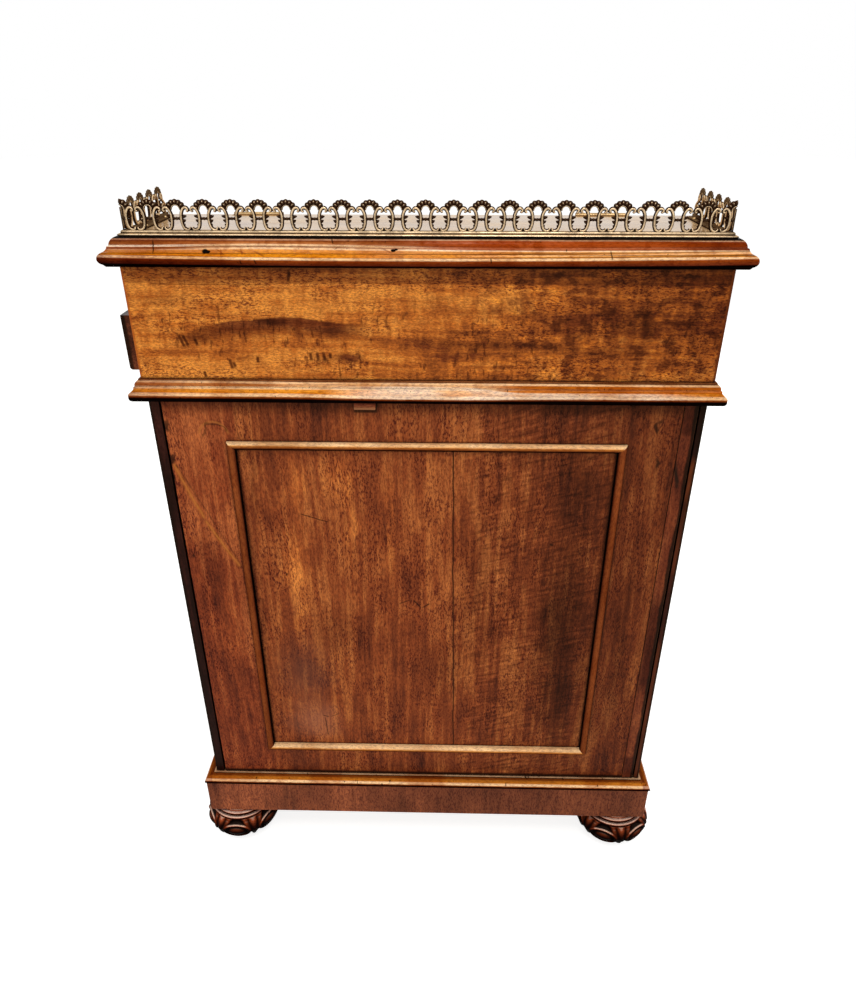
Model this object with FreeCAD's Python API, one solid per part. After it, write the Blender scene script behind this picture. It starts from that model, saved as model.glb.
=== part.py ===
import FreeCAD, Part
import math
import os

# A sliding-top davenport desk. X runs to the user's right, Y runs to the back, Z is up.
# The origin is on the floor under the middle of the case. Every size is in millimetres.

V = FreeCAD.Vector

# ---------------------------------------------------------------- driving dimensions
case_width = 576.0
case_depth = 540.0
case_height = 542.0
board = 18.0                    # front and back boards
side_board = 14.4               # the board behind the dummy drawers
face_frame = 7.9                # planted frame round the dummy drawers
quirk = 2.2                     # dark groove beside each corner strip

foot_height = 56.0
foot_radius = 51.5
foot_inset = 22.5               # foot axis in from the case's faces
dowel_radius = 11.9

plinth_rail_height = 51.0
plinth_rail_thickness = 20.0
plinth_overhang = 12.5          # plinth face beyond the case
plinth_moulding_height = 11.5
plinth_moulding_width = 38.5

lap_gap = 0.5                   # running gap between the case top and the lap
lap_overhang_side = 2.0
lap_overhang_back = 3.5
lap_board = 12.0
waist_height = 22.0
waist_width = 30.0
lap_back_height = 112.0
top_board = 13.0                # flat top and lid
cornice_height = 26.0
hinge_line_y = 125.0
lid_slope = 11.5                # degrees
lid_gap = 0.3                   # under the closed lid

gallery_height = 31.9
gallery_units = 22              # arches across the back
gallery_inset = 7.6             # plate's middle in from the lap's faces
gallery_plate = 2.6
gallery_rail_height = 6.2
gallery_return_units = 4

drawer_heights = (105.0, 113.0, 122.0, 134.0)    # openings, top to bottom
divider = 16.0
opening_half = 224.5            # half the width of a drawer opening
drawer_gap = 1.0
drawer_front = 16.0
drawer_length = 521.0
cockbead = 2.5
knob_spread = 130.0             # knob axis from the drawer's middle
knob_dowel = 4.9

groove_x = 150.0                # lap runners
groove_width = 17.0
runner_width = 16.0

pen_ajar = 13.9                 # the pen drawer stands open this far
pen_front = 11.7
pen_low = 4.5                   # aperture above the bottom edge of the lap's side
pen_height = 57.0
pen_back_gap = 0.1

# ---------------------------------------------------------------- levels and half sizes
case_x = case_width / 2
case_y = case_depth / 2
z_rail = foot_height
z_rail_top = z_rail + plinth_rail_height
z_case = z_rail_top + plinth_moulding_height
z_case_top = z_case + case_height
z_lap = z_case_top + lap_gap
z_box = z_lap + waist_height
z_cornice = z_box + lap_back_height
z_top = z_cornice + cornice_height
z_board = z_top - top_board

plinth_x = case_x + plinth_overhang
plinth_y = case_y + plinth_overhang
lap_x = case_x + lap_overhang_side
lap_y = case_y + lap_overhang_back
case_top_board = z_case_top - z_case - sum(drawer_heights) - 3 * divider
slope = math.radians(lid_slope)
lid_length = (hinge_line_y + lap_y + top_board * math.sin(slope)) / math.cos(slope)
gallery_x = lap_x - gallery_inset
gallery_y = lap_y - gallery_inset
gallery_pitch = 2 * gallery_x / gallery_units
post_x = case_x - 10.5          # inner face of the right-hand corner strips
left_board_x = case_x - face_frame - side_board


# ---------------------------------------------------------------- helpers
def box(x0, x1, y0, y1, z0, z1):
    return Part.makeBox(x1 - x0, y1 - y0, z1 - z0, V(x0, y0, z0))


def outline(start, steps):
    """Face in the local XZ plane: X is how far out it stands, Z is up.
    A step of one point is a line, a step of two points is an arc."""
    edges = []
    here = V(start[0], 0, start[1])
    first = here
    for step in steps:
        points = [V(x, 0, z) for x, z in step]
        if len(points) == 2:
            edges.append(Part.Arc(here, points[0], points[1]).toShape())
        else:
            edges.append(Part.LineSegment(here, points[0]).toShape())
        here = points[-1]
    edges.append(Part.LineSegment(here, first).toShape())
    return Part.Face(Part.Wire(edges))


def run(profile, offset, z, low, high, angle=0):
    """A length of moulding. Its face stands at offset, and it runs from low to high.
    Each end is ("mitre", y at the face) or ("square", y). It faces angle degrees from +X."""
    reach = 60.0
    bar = profile.extrude(V(0, high[1] - low[1] + 4 * reach, 0))
    bar.translate(V(offset, low[1] - 2 * reach, z))
    skew_low = reach if low[0] == "mitre" else 0.0
    skew_high = reach if high[0] == "mitre" else 0.0
    corners = [
        V(offset - reach, low[1] + skew_low, z - 100),
        V(offset + reach, low[1] - skew_low, z - 100),
        V(offset + reach, high[1] + skew_high, z - 100),
        V(offset - reach, high[1] - skew_high, z - 100),
    ]
    plan = Part.Face(Part.makePolygon(corners + corners[:1]))
    piece = bar.common(plan.extrude(V(0, 0, 200)))
    piece.rotate(V(0, 0, 0), V(0, 0, 1), angle)
    return piece


def frame_of_four(profile, half_x, half_y, z):
    """Four mitred lengths round a rectangle: back, front, left, right."""
    back = run(profile, half_y, z, ("mitre", -half_x), ("mitre", half_x), 90)
    front = run(profile, half_y, z, ("mitre", -half_x), ("mitre", half_x), -90)
    right = run(profile, half_x, z, ("mitre", -half_y), ("mitre", half_y), 0)
    left = run(profile, half_x, z, ("mitre", -half_y), ("mitre", half_y), 180)
    return back, front, left, right


def mirrored_x(shape):
    return shape.mirror(V(0, 0, 0), V(1, 0, 0))


def mirrored_y(shape):
    return shape.mirror(V(0, 0, 0), V(0, 1, 0))


def fused(shapes):
    return shapes[0].multiFuse(shapes[1:]).removeSplitter()


def onto_slope(shape):
    """From the lid's own frame, hinge axis at Y 0 and top face at Z 0, to its place when closed."""
    placed = shape.copy()
    placed.rotate(V(0, 0, 0), V(1, 0, 0), lid_slope)
    placed.translate(V(0, hinge_line_y, z_top))
    return placed


def turned(start, steps):
    """Solid turned about Z from half its section."""
    return outline(start, steps).revolve(V(0, 0, 0), V(0, 0, 1), 360)


def solids_of(shapes):
    found = []
    for shape in shapes:
        found.extend(shape.Solids)
    return found


def save(name, *shapes):
    solids = solids_of(shapes)
    for solid in solids:
        if not solid.isValid() or solid.Volume <= 0:
            print("not valid:", name)
    whole = solids[0] if len(solids) == 1 else Part.makeCompound(solids)
    whole.exportStep("parts/" + name + ".step")
    limits = whole.BoundBox
    print("%-22s %2d solids  x %.1f %.1f  y %.1f %.1f  z %.1f %.1f" % (
        name, len(solids), limits.XMin, limits.XMax, limits.YMin, limits.YMax, limits.ZMin, limits.ZMax))


def drawer_levels():
    """Bottom and top of each drawer opening, top drawer first."""
    levels = []
    high = z_case_top - case_top_board
    for height in drawer_heights:
        levels.append((high - height, high))
        high -= height + divider
    return levels


# ---------------------------------------------------------------- feet and plinth
def foot(x, y):
    """Bun foot: flat tread, full girth, two neck rings and a dowel."""
    girth = foot_height * 0.48
    shape = turned((0, 0), [
        [(30, 0)],
        [(43.5, 10.5), (foot_radius, girth)],
        [(47.8, 37), (41.5, 43.3)],
        [(43.6, 46), (40, 48)],
        [(38.6, 48.6)],
        [(40, 51.2), (37, 53)],
        [(36, 53.4)],
        [(36, foot_height)],
        [(dowel_radius, foot_height)],
        [(dowel_radius, foot_height + 28)],
        [(0, foot_height + 28)],
    ])
    shape.translate(V(x, y, 0))
    return shape


def build_feet_and_plinth():
    foot_x = case_x - foot_inset
    foot_y = case_y - foot_inset
    corners = {
        "foot_back_right": (foot_x, foot_y),
        "foot_back_left": (-foot_x, foot_y),
        "foot_front_right": (foot_x, -foot_y),
        "foot_front_left": (-foot_x, -foot_y),
    }
    for name, (x, y) in corners.items():
        save(name, foot(x, y))

    rail_inner_x = plinth_x - plinth_rail_thickness
    rail_inner_y = plinth_y - plinth_rail_thickness
    base_low = z_rail_top - 12
    block_side = 54.0
    dowel_hole = Part.makeCylinder(dowel_radius + 0.1, 60, V(foot_x, foot_y, z_rail - 5))
    block = box(rail_inner_x - block_side, rail_inner_x, rail_inner_y - block_side, rail_inner_y,
                z_rail, base_low).cut(dowel_hole)
    save("corner_blocks", block, mirrored_x(block), mirrored_y(block), mirrored_y(mirrored_x(block)))

    rail = outline((-plinth_rail_thickness, 0), [
        [(0, 0)],
        [(0, plinth_rail_height)],
        [(-plinth_rail_thickness, plinth_rail_height)],
    ])
    names = ("plinth_rail_back", "plinth_rail_front", "plinth_rail_left", "plinth_rail_right")
    for name, length in zip(names, frame_of_four(rail, plinth_x, plinth_y, z_rail)):
        save(name, length)

    thumb = outline((-plinth_moulding_width, 0), [
        [(0, 0)],
        [(0, 1.0)],
        [(1.3, 2.0)],
        [(1.3, 5.0)],
        [(-1.4, 8.8), (-9.5, 10.6)],
        [(-9.5, plinth_moulding_height)],
        [(-plinth_moulding_width, plinth_moulding_height)],
    ])
    save("plinth_moulding", *frame_of_four(thumb, plinth_x, plinth_y, z_rail_top))

    inner_x = plinth_x - plinth_moulding_width - 0.2
    inner_y = plinth_y - plinth_moulding_width - 0.2
    base = fused([
        box(-rail_inner_x, rail_inner_x, -rail_inner_y, rail_inner_y, base_low, z_rail_top),
        box(-inner_x, inner_x, -inner_y, inner_y, z_rail_top - 1, z_case),
    ])
    save("base_board", base)


# ---------------------------------------------------------------- case
bead_x = 212.0                  # outer half width of the planted bead
bead_low = z_case + 44.5
bead_high = z_case_top - 48.0
bead_width = 9.0
bead_proud = 5.6
panel_sink = 1.5


def panelled_board():
    """Back board with the sunk panel inside its bead."""
    right = post_x - quirk
    shape = box(-left_board_x + 0.6, right, case_y - board, case_y, z_case, z_case_top)
    inside = bead_x - bead_width / 2
    sunk = box(-inside, inside, case_y - panel_sink, case_y + 1,
               bead_low + bead_width / 2, bead_high - bead_width / 2)
    return shape.cut(sunk)


def planted_bead():
    """Half-round bead, mitred at the corners, standing on the back board."""
    section = bead_section(bead_width / 2)
    height = (bead_high - bead_low) / 2
    middle = (bead_high + bead_low) / 2
    lengths = []
    for piece in frame_of_four(section, bead_x, height, 0):
        piece.rotate(V(0, 0, 0), V(1, 0, 0), -90)
        piece.translate(V(0, case_y, middle))
        lengths.append(piece)
    return lengths


def bead_section(half):
    """The bead's foot steps down onto the sunk panel on its inner side."""
    return outline((0, 0), [
        [(-half, bead_proud), (-bead_width, 0)],
        [(-bead_width, -panel_sink)],
        [(-half, -panel_sink)],
        [(-half, 0)],
    ])


def right_post():
    """Corner post beside the drawers: a strip on the face and a leg behind the back board."""
    strip = box(post_x, case_x, opening_half, case_y, z_case, z_case_top)
    leg = box(case_x - 38, post_x + 1, opening_half, case_y - board - 0.5, z_case, z_case_top)
    return fused([strip, leg])


def left_face_frame():
    """Planted frame with four openings, grooved along its edges like the posts."""
    shape = box(-case_x, -case_x + face_frame, -case_y, case_y, z_case, z_case_top)
    for low, high in drawer_levels():
        shape = shape.cut(box(-case_x - 1, -case_x + 10, -opening_half, opening_half, low, high))
    groove = box(-case_x + face_frame - 1.7, -case_x + 10, case_y - 6, case_y + 1, z_case - 1, z_case_top + 1)
    return shape.cut(groove).cut(mirrored_y(groove))


def drawer_face(low, high, thickness):
    """Flush drawer front with a cockbead round its edge. Its outer face is at X 0."""
    half = opening_half - drawer_gap
    z0 = low + 0.3
    z1 = high - 0.7
    plate = box(-thickness, 0, -half, half, z0, z1)
    rim = box(-2, 1.3, -half, half, z0, z1)
    rim = rim.cut(box(-3, 2, -half + cockbead, half - cockbead, z0 + cockbead, z1 - cockbead))
    return fused([plate, rim])


def turned_knob(dowel):
    """Turned knob standing along +X from X 0, with a dowel of the given length behind."""
    knob = turned((0, -dowel), [
        [(knob_dowel, -dowel)],
        [(knob_dowel, 0)],
        [(10, 0)],
        [(10.4, 1.4), (9.6, 2.8)],
        [(6.9, 6.5), (9.5, 10.8)],
        [(15.2, 12.2), (16.8, 16.5)],
        [(13.4, 23.6), (2.0, 26.8)],
        [(0, 26.8)],
    ])
    knob.rotate(V(0, 0, 0), V(0, 1, 0), 90)
    return knob


def knob_pair(face_x, middle, dowel, side):
    pair = []
    for y in (-knob_spread, knob_spread):
        knob = turned_knob(dowel)
        if side < 0:
            knob = mirrored_x(knob)
        knob.translate(V(side * face_x, y, middle))
        pair.append(knob)
    return pair


def drill_for_knobs(front, face_x, middle, depth, side):
    for y in (-knob_spread, knob_spread):
        start = V(side * (face_x + 2), y, middle)
        front = front.cut(Part.makeCylinder(knob_dowel + 0.1, depth + 2, start, V(-side, 0, 0)))
    return front


def build_case():
    back = panelled_board()
    save("back_board", back)
    save("front_board", mirrored_y(back))
    beads = planted_bead()
    save("panel_beads", *(beads + [mirrored_y(bead) for bead in beads]))
    save("left_side_board", box(-left_board_x - side_board + 0.1, -left_board_x, -case_y, case_y,
                                z_case, z_case_top))
    post = right_post()
    save("side_frames", post, mirrored_y(post), left_face_frame())

    levels = drawer_levels()
    fronts = []
    knobs = []
    face_x = case_x - 0.5
    for low, high in levels:
        front = mirrored_x(drawer_face(low, high, face_frame - 0.6))
        front.translate(V(-face_x, 0, 0))
        middle = (low + high) / 2
        fronts.append(drill_for_knobs(front, face_x, middle, 10, -1))
        knobs.extend(knob_pair(face_x, middle, face_frame - 0.8, -1))
    save("dummy_drawer_fronts", *fronts)
    save("dummy_knobs", *knobs)

    inner_y = case_y - board - 0.5
    notch_x = case_x - 38.5
    left_inner = -left_board_x + 0.4
    for number in range(3):
        z1 = levels[number][0]
        z0 = z1 - divider
        plank = fused([
            box(left_inner, notch_x, -inner_y, inner_y, z0, z1),
            box(left_inner, case_x - 0.3, -opening_half + 0.1, opening_half - 0.1, z0, z1),
        ])
        save("drawer_divider_%d" % (number + 1), plank)

    z0 = z_case_top - case_top_board
    top = fused([
        box(left_inner, notch_x, -inner_y, inner_y, z0, z_case_top),
        box(left_inner, case_x - 0.3, -opening_half + 0.1, opening_half - 0.1, z0, z_case_top),
    ])
    for x in (-groove_x, groove_x):
        half = groove_width / 2
        top = top.cut(box(x - half, x + half, -inner_y + 6, inner_y - 11, z_case_top - 10, z_case_top + 1))
    save("case_top", top)
    save("slide_stop_block", box(51.5, 73.7, case_y, case_y + 7, z_case_top - 8.5, z_case_top - 0.4))


# ---------------------------------------------------------------- real drawers
def build_drawers():
    face_x = case_x - 0.5
    back_face = face_x - drawer_front
    for number, (low, high) in enumerate(drawer_levels(), 1):
        middle = (low + high) / 2
        front = drawer_face(low, high, drawer_front)
        front.translate(V(face_x, 0, 0))
        front = drill_for_knobs(front, face_x, middle, 14, 1)
        save("drawer_%d_front" % number, front)
        save("drawer_%d_knobs" % number, *knob_pair(face_x, middle, 13, 1))

        wall = 9.0
        half = opening_half - 3.5
        far = back_face - drawer_length
        z0 = low + 0.3
        z1 = high - 10
        carcass = box(far, back_face, -half, half, z0, z1)
        carcass = carcass.cut(box(far + wall, back_face + 1, -half + wall, half - wall, z0 - 1, z1 + 1))
        bottom = box(far + wall, back_face, -half + wall, half - wall, z0 + 4, z0 + 10)
        save("drawer_%d_box" % number, carcass, bottom)


# ---------------------------------------------------------------- lap (sliding top)
def cornice_upper():
    """Edge of the flat top and the lid: ovolo, fillet and the start of the cove."""
    return outline((-20, 0), [
        [(-4.5, 0)],
        [(2.4, -2.1), (4.8, -7.4)],
        [(6.3, -7.9)],
        [(6.5, -9.0)],
        [(8.1, -11.5), (11.0, -top_board)],
        [(-20, -top_board)],
    ])


def cornice_lower():
    """Moulding under that edge: the rest of the cove and a bold rounded nose."""
    top = -top_board - lid_gap
    return outline((0, top), [
        [(11.5, top)],
        [(13.0, -14.4)],
        [(14.4, -18.4), (10.9, -23.7)],
        [(9.0, -cornice_height)],
        [(0, -cornice_height)],
    ])


def behind_hinge_line(margin):
    return box(-500, 500, hinge_line_y - margin, hinge_line_y + 500, 0, 2000)


def lid_space():
    """Everything above the underside of the closed lid."""
    above = onto_slope(box(-500, 500, -700, 60, -top_board - lid_gap, 300))
    return above.cut(behind_hinge_line(0))


hinge_x = 187.0
hinge_length = 54.0
hinge_leaf = 1.2
hinge_leaf_width = 12.0
knuckle_radius = 2.4
pin_radius = 1.2
knuckle_gap = 0.3


def knuckle(x0, x1, hole):
    barrel = Part.makeCylinder(knuckle_radius, x1 - x0, V(x0, 0, 0), V(1, 0, 0))
    return barrel.cut(Part.makeCylinder(hole, x1 - x0 + 2, V(x0 - 1, 0, 0), V(1, 0, 0)))


def hinge_parts():
    """Right-hand hinge about the X axis: leaf on the flat top, leaf on the lid, pin."""
    x0 = hinge_x - hinge_length / 2
    x1 = hinge_x + hinge_length / 2
    third = hinge_length / 3
    a = x0 + third
    b = x1 - third
    clear = knuckle_radius + 0.7
    bore = Part.makeCylinder(pin_radius, hinge_length + 20, V(x0 - 10, 0, 0), V(1, 0, 0))
    fixed = fused([
        box(x0, x1, clear, hinge_leaf_width, -hinge_leaf, 0),
        box(x0, a, 0, clear + 1, -hinge_leaf, 0),
        box(b, x1, 0, clear + 1, -hinge_leaf, 0),
        Part.makeCylinder(knuckle_radius, third, V(x0, 0, 0), V(1, 0, 0)),
        Part.makeCylinder(knuckle_radius, third, V(b, 0, 0), V(1, 0, 0)),
    ]).cut(bore)
    running_bore = Part.makeCylinder(pin_radius + 0.05, hinge_length + 20, V(x0 - 10, 0, 0), V(1, 0, 0))
    moving = fused([
        box(x0, x1, -hinge_leaf_width, -clear, -hinge_leaf, 0),
        box(a + knuckle_gap, b - knuckle_gap, -clear - 1, 0, -hinge_leaf, 0),
        Part.makeCylinder(knuckle_radius, b - a - 2 * knuckle_gap, V(a + knuckle_gap, 0, 0), V(1, 0, 0)),
    ]).cut(running_bore)
    pin = Part.makeCylinder(pin_radius, hinge_length, V(x0, 0, 0), V(1, 0, 0))
    return fixed, moving, pin


def hinge_cutters():
    """Recess for a leaf on the +Y side and the round channel for the knuckles."""
    x0 = hinge_x - hinge_length / 2
    x1 = hinge_x + hinge_length / 2
    leaf = box(x0, x1, 0, hinge_leaf_width, -hinge_leaf, 5)
    channel = Part.makeCylinder(knuckle_radius + 0.7, hinge_length + 1, V(x0 - 0.5, 0, 0), V(1, 0, 0))
    return leaf, channel


def build_lap_carcass():
    inner_x = lap_x - waist_width - 0.2
    inner_y = lap_y - waist_width - 0.2
    save("lap_bottom", box(-inner_x, inner_x, -inner_y, inner_y, z_box - 19, z_box))
    half = runner_width / 2
    runner = box(groove_x - half, groove_x + half, -35, 225, z_case_top - 9.5, z_box - 19)
    save("lap_runners", runner, mirrored_x(runner))

    waist = outline((-waist_width, 0), [
        [(8.4, 0)],
        [(10.8, 1.8), (11.5, 5.0)],
        [(11.5, 8.0)],
        [(10.6, 9.2)],
        [(7.7, 11.2), (6.6, 14.6)],
        [(5.4, 15.2)],
        [(4.7, 18.8), (2.0, 20.8)],
        [(2.0, waist_height)],
        [(-waist_width, waist_height)],
    ])
    save("waist_moulding", *frame_of_four(waist, lap_x, lap_y, z_lap))

    above_lid = lid_space()
    save("lap_back", box(-lap_x, lap_x, lap_y - lap_board, lap_y, z_box, z_board))
    side = box(lap_x - lap_board, lap_x, -lap_y + lap_board, lap_y - lap_board, z_box, z_board).cut(above_lid)
    save("lap_left_side", mirrored_x(side))
    aperture = box(lap_x - 20, lap_x + 20, pen_front_y0() - 0.4, lap_y - lap_board + 1,
                   z_box + pen_low, z_box + pen_low + pen_height)
    save("lap_right_side", side.cut(aperture))

    front = box(-lap_x, lap_x, -lap_y, -lap_y + lap_board, z_box, z_board).cut(above_lid)
    lock_z = z_box + 20
    keyhole = Part.makeCylinder(2.2, 40, V(0, -lap_y - 5, lock_z), V(0, 1, 0))
    slot = box(-1.1, 1.1, -lap_y - 5, -lap_y + 35, lock_z - 7, lock_z)
    save("lap_front_rail", front.cut(keyhole).cut(slot))
    lock = box(-28, 28, -lap_y + lap_board, -lap_y + lap_board + 8, z_box + 5, z_box + 34)
    plate = Part.makeCylinder(10, 1.2, V(0, -lap_y - 1.2, lock_z - 2), V(0, 1, 0)).cut(keyhole).cut(slot)
    save("lid_lock", lock, plate)


def build_flat_top():
    upper = cornice_upper()
    front_y = hinge_line_y + 0.5
    right = run(upper, lap_x, z_top, ("square", front_y), ("mitre", lap_y))
    back = run(upper, lap_y, z_top, ("mitre", -lap_x), ("mitre", lap_x), 90)
    middle = box(-lap_x + 19, lap_x - 19, front_y, lap_y - 19, z_board, z_top)
    top = fused([middle, right, mirrored_x(right), back])
    for cutter in hinge_cutters():
        cutter.translate(V(0, hinge_line_y, z_top))
        top = top.cut(cutter).cut(mirrored_x(cutter))
    save("flat_top", top)

    lower = cornice_lower()
    side = run(lower, lap_x, z_top, ("square", hinge_line_y + 0.1), ("mitre", lap_y))
    rear = run(lower, lap_y, z_top, ("mitre", -lap_x), ("mitre", lap_x), 90)
    slope_side = onto_slope(run(lower, lap_x, 0, ("mitre", -lid_length), ("square", 20)))
    slope_side = slope_side.cut(behind_hinge_line(0))
    slope_front = onto_slope(run(lower, lid_length, 0, ("mitre", -lap_x), ("mitre", lap_x), -90))
    slope_front = slope_front.cut(box(-lap_x, lap_x, -lap_y, 0, z_box, z_top))
    save("cornice_moulding", side, mirrored_x(side), rear, slope_side, mirrored_x(slope_side), slope_front)

    fixed, moving, pin = hinge_parts()
    for shape in (fixed, pin):
        shape.translate(V(0, hinge_line_y, z_top))
    save("top_hinge_leaves", fixed, mirrored_x(fixed), pin, mirrored_x(pin))
    placed = onto_slope(moving)
    save("lid_hinge_leaves", placed, mirrored_x(placed))


# ---------------------------------------------------------------- brass gallery
ring_half_width = 10.0
ring_half_height = 9.9
ring_line = 2.0
arch_half_width = 9.3
arch_rise = 7.4
eye_half_width = 4.2
eye_half_height = 3.7


def ellipse_disc(u, w, half_u, half_w):
    """Flat elliptical disc in the UW plane, as thick as the gallery's plate."""
    if half_u >= half_w:
        curve = Part.Ellipse(V(0, 0, 0), half_u, half_w)
    else:
        curve = Part.Ellipse(V(0, 0, 0), half_w, half_u)
    disc = Part.Face(Part.Wire([curve.toShape()]))
    if half_u < half_w:
        disc.rotate(V(0, 0, 0), V(0, 0, 1), 90)
    disc.rotate(V(0, 0, 0), V(1, 0, 0), 90)
    solid = disc.extrude(V(0, gallery_plate, 0))
    solid.translate(V(u, -gallery_plate / 2, w))
    return solid


def ring(u, half_u, w, half_w):
    """Open oval ring standing on the rail."""
    inner = ellipse_disc(u, w, half_u - ring_line, half_w - ring_line)
    return ellipse_disc(u, w, half_u, half_w).cut(inner)


def arch(u):
    """Shell arch between two rings, with its eye and the short bar below."""
    spring = gallery_height - arch_rise
    half = gallery_plate / 2
    shell = ellipse_disc(u, spring, arch_half_width, arch_rise)
    below = box(u - 20, u + 20, -5, 5, 0, spring - 1.5)
    shell = shell.cut(below)
    leg = 4.6
    reach = gallery_pitch / 2 - ring_half_width + ring_line * 0.9
    web = box(u - reach - 2.2, u + reach + 2.2, -half, half, spring - leg, spring)
    eye = ellipse_disc(u, spring - 1.7, eye_half_width, eye_half_height)
    bar = box(u - reach, u + reach, -half, half, 15.2, 17.6)
    drop = box(u - 1.1, u + 1.1, -half, half, 17, spring - 4.8)
    return fused([shell, web]).cut(eye).fuse(bar).fuse(drop)


def gallery_strip(arches, rings):
    pieces = [arch(u) for u in arches]
    middle = gallery_rail_height - 0.4 + ring_half_height
    inside = []
    for u in rings:
        pieces.append(ring(u, ring_half_width, middle, ring_half_height))
        inside.append(ellipse_disc(u, middle, ring_half_width - ring_line, ring_half_height - ring_line))
    whole = pieces[0].multiFuse(pieces[1:])
    return whole.cut(Part.makeCompound(inside))


def gallery_rail_section():
    return outline((-7, 0), [
        [(2.6, 0)],
        [(3.3, 1.1), (2.6, 2.3)],
        [(1.7, 2.9)],
        [(1.7, 3.8)],
        [(2.4, 4.9), (1.5, gallery_rail_height)],
        [(-1.3, gallery_rail_height)],
        [(-1.3, 1.6)],
        [(-7, 1.6)],
    ])


def build_gallery():
    rail = gallery_rail_section()
    thick = outline((-gallery_plate, -5), [
        [(gallery_plate, -5)],
        [(gallery_plate, 60)],
        [(-gallery_plate, 60)],
    ])
    stations = [i * gallery_pitch - gallery_x for i in range(gallery_units + 1)]
    back = gallery_strip(stations, [u + gallery_pitch / 2 for u in stations[:-1]])
    back.translate(V(0, gallery_y, z_top))
    back = back.common(run(thick, gallery_y, z_top, ("mitre", -gallery_x), ("mitre", gallery_x), 90))
    foot_rail = run(rail, gallery_y, z_top, ("mitre", -gallery_x), ("mitre", gallery_x), 90)
    save("gallery_back", fused([foot_rail, back]))

    length = (gallery_return_units + 0.8) * gallery_pitch
    stations = [i * gallery_pitch for i in range(gallery_return_units + 1)]
    strip = gallery_strip(stations, [u + gallery_pitch / 2 for u in stations[:-1]])
    last = stations[-1]
    scroll = ring(last + 9.8, 7.0, gallery_rail_height + 6.6, 7.0)
    curl = ring(last + 6.2, 4.2, gallery_rail_height + 15.0, 4.2)
    tail = box(last + 1.5, last + 9, -gallery_plate / 2, gallery_plate / 2, 12, 14)
    strip = strip.multiFuse([scroll, curl, tail])
    strip.rotate(V(0, 0, 0), V(0, 0, 1), -90)
    strip.translate(V(gallery_x, gallery_y, z_top))
    ends = (("square", gallery_y - length), ("mitre", gallery_y))
    strip = strip.common(run(thick, gallery_x, z_top, *ends))
    right = fused([run(rail, gallery_x, z_top, *ends), strip])
    save("gallery_right", right)
    save("gallery_left", mirrored_x(right))

    screws = []
    inset = 4.6
    for x in (-220, -75, 75, 220):
        screws.append(V(x, gallery_y - inset, z_top + 1.6))
    for y in (gallery_y - 45, gallery_y - length + 20):
        screws.append(V(gallery_x - inset, y, z_top + 1.6))
        screws.append(V(-gallery_x + inset, y, z_top + 1.6))
    heads = [Part.makeSphere(2.0, place, V(0, 0, 1), 0, 90, 360) for place in screws]
    save("gallery_screws", *heads)


# ---------------------------------------------------------------- inside of the lap
fascia_y = hinge_line_y + 4
partition_x = 92.0
small_drawer_top = 104.0        # above the lap's floor
shelf_low = 61.8
shelf = 6.0
small_knob_reach = 10.0


def pen_front_y0():
    return fascia_y + 10.4


def small_knob(x, y, z):
    """Small turned knob standing along -Y."""
    knob = turned((0, 0), [
        [(2.2, 0)],
        [(2.0, 3.5)],
        [(4.8, 4.6), (4.6, 7.4)],
        [(3.4, 9.2), (0.8, small_knob_reach)],
        [(0, small_knob_reach)],
    ])
    knob.rotate(V(0, 0, 0), V(1, 0, 0), 90)
    knob.translate(V(x, y, z))
    return knob


def build_interior():
    inner_x = lap_x - lap_board - 0.1
    back_y = lap_y - lap_board - 0.1
    fascia = box(-inner_x, inner_x, fascia_y, fascia_y + 8, z_box, z_box + shelf_low - 0.2)
    middles = (-(partition_x + inner_x) / 2, 0, (partition_x + inner_x) / 2)
    half_widths = ((inner_x - partition_x) / 2 - 4, partition_x - 4, (inner_x - partition_x) / 2 - 4)
    knobs = []
    for x, half in zip(middles, half_widths):
        fascia = fascia.fuse(box(x - half, x + half, fascia_y - 2.5, fascia_y + 1, z_box + 6, z_box + 56))
        knobs.append(small_knob(x, fascia_y - 2.5, z_box + 31))
    save("interior_fascia", fascia.removeSplitter(), *knobs)

    z0 = z_box + shelf_low
    z1 = z0 + shelf
    pieces = [box(-inner_x, inner_x, fascia_y, back_y, z0, z1)]
    for x in (-partition_x, partition_x):
        pieces.append(box(x - 3, x + 3, fascia_y + 2, back_y, z1, z_board))
    valance = box(-inner_x, inner_x, fascia_y - 3, fascia_y + 1.8, z_box + small_drawer_top + 2, z_board)
    scoop = Part.makeCylinder(95, 20, V(0, fascia_y - 10, z_board - 105), V(0, 1, 0))
    pieces.append(valance.cut(scoop))
    save("interior_partitions", *pieces)

    wall = 5.0
    x0 = partition_x + 3.5
    x1 = inner_x - 0.5
    low = z1 + 0.3
    high = z_box + small_drawer_top
    back = back_y - 5
    tray = box(x0, x1, fascia_y, back, low, high)
    tray = tray.cut(box(x0 + wall, x1 - wall, fascia_y + 7, back - wall, low + 4, high + 1))
    drawer = tray.fuse(small_knob((x0 + x1) / 2, fascia_y, (low + high) / 2))
    save("small_drawer_right", drawer.removeSplitter())
    save("small_drawer_left", mirrored_x(drawer.removeSplitter()))


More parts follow.
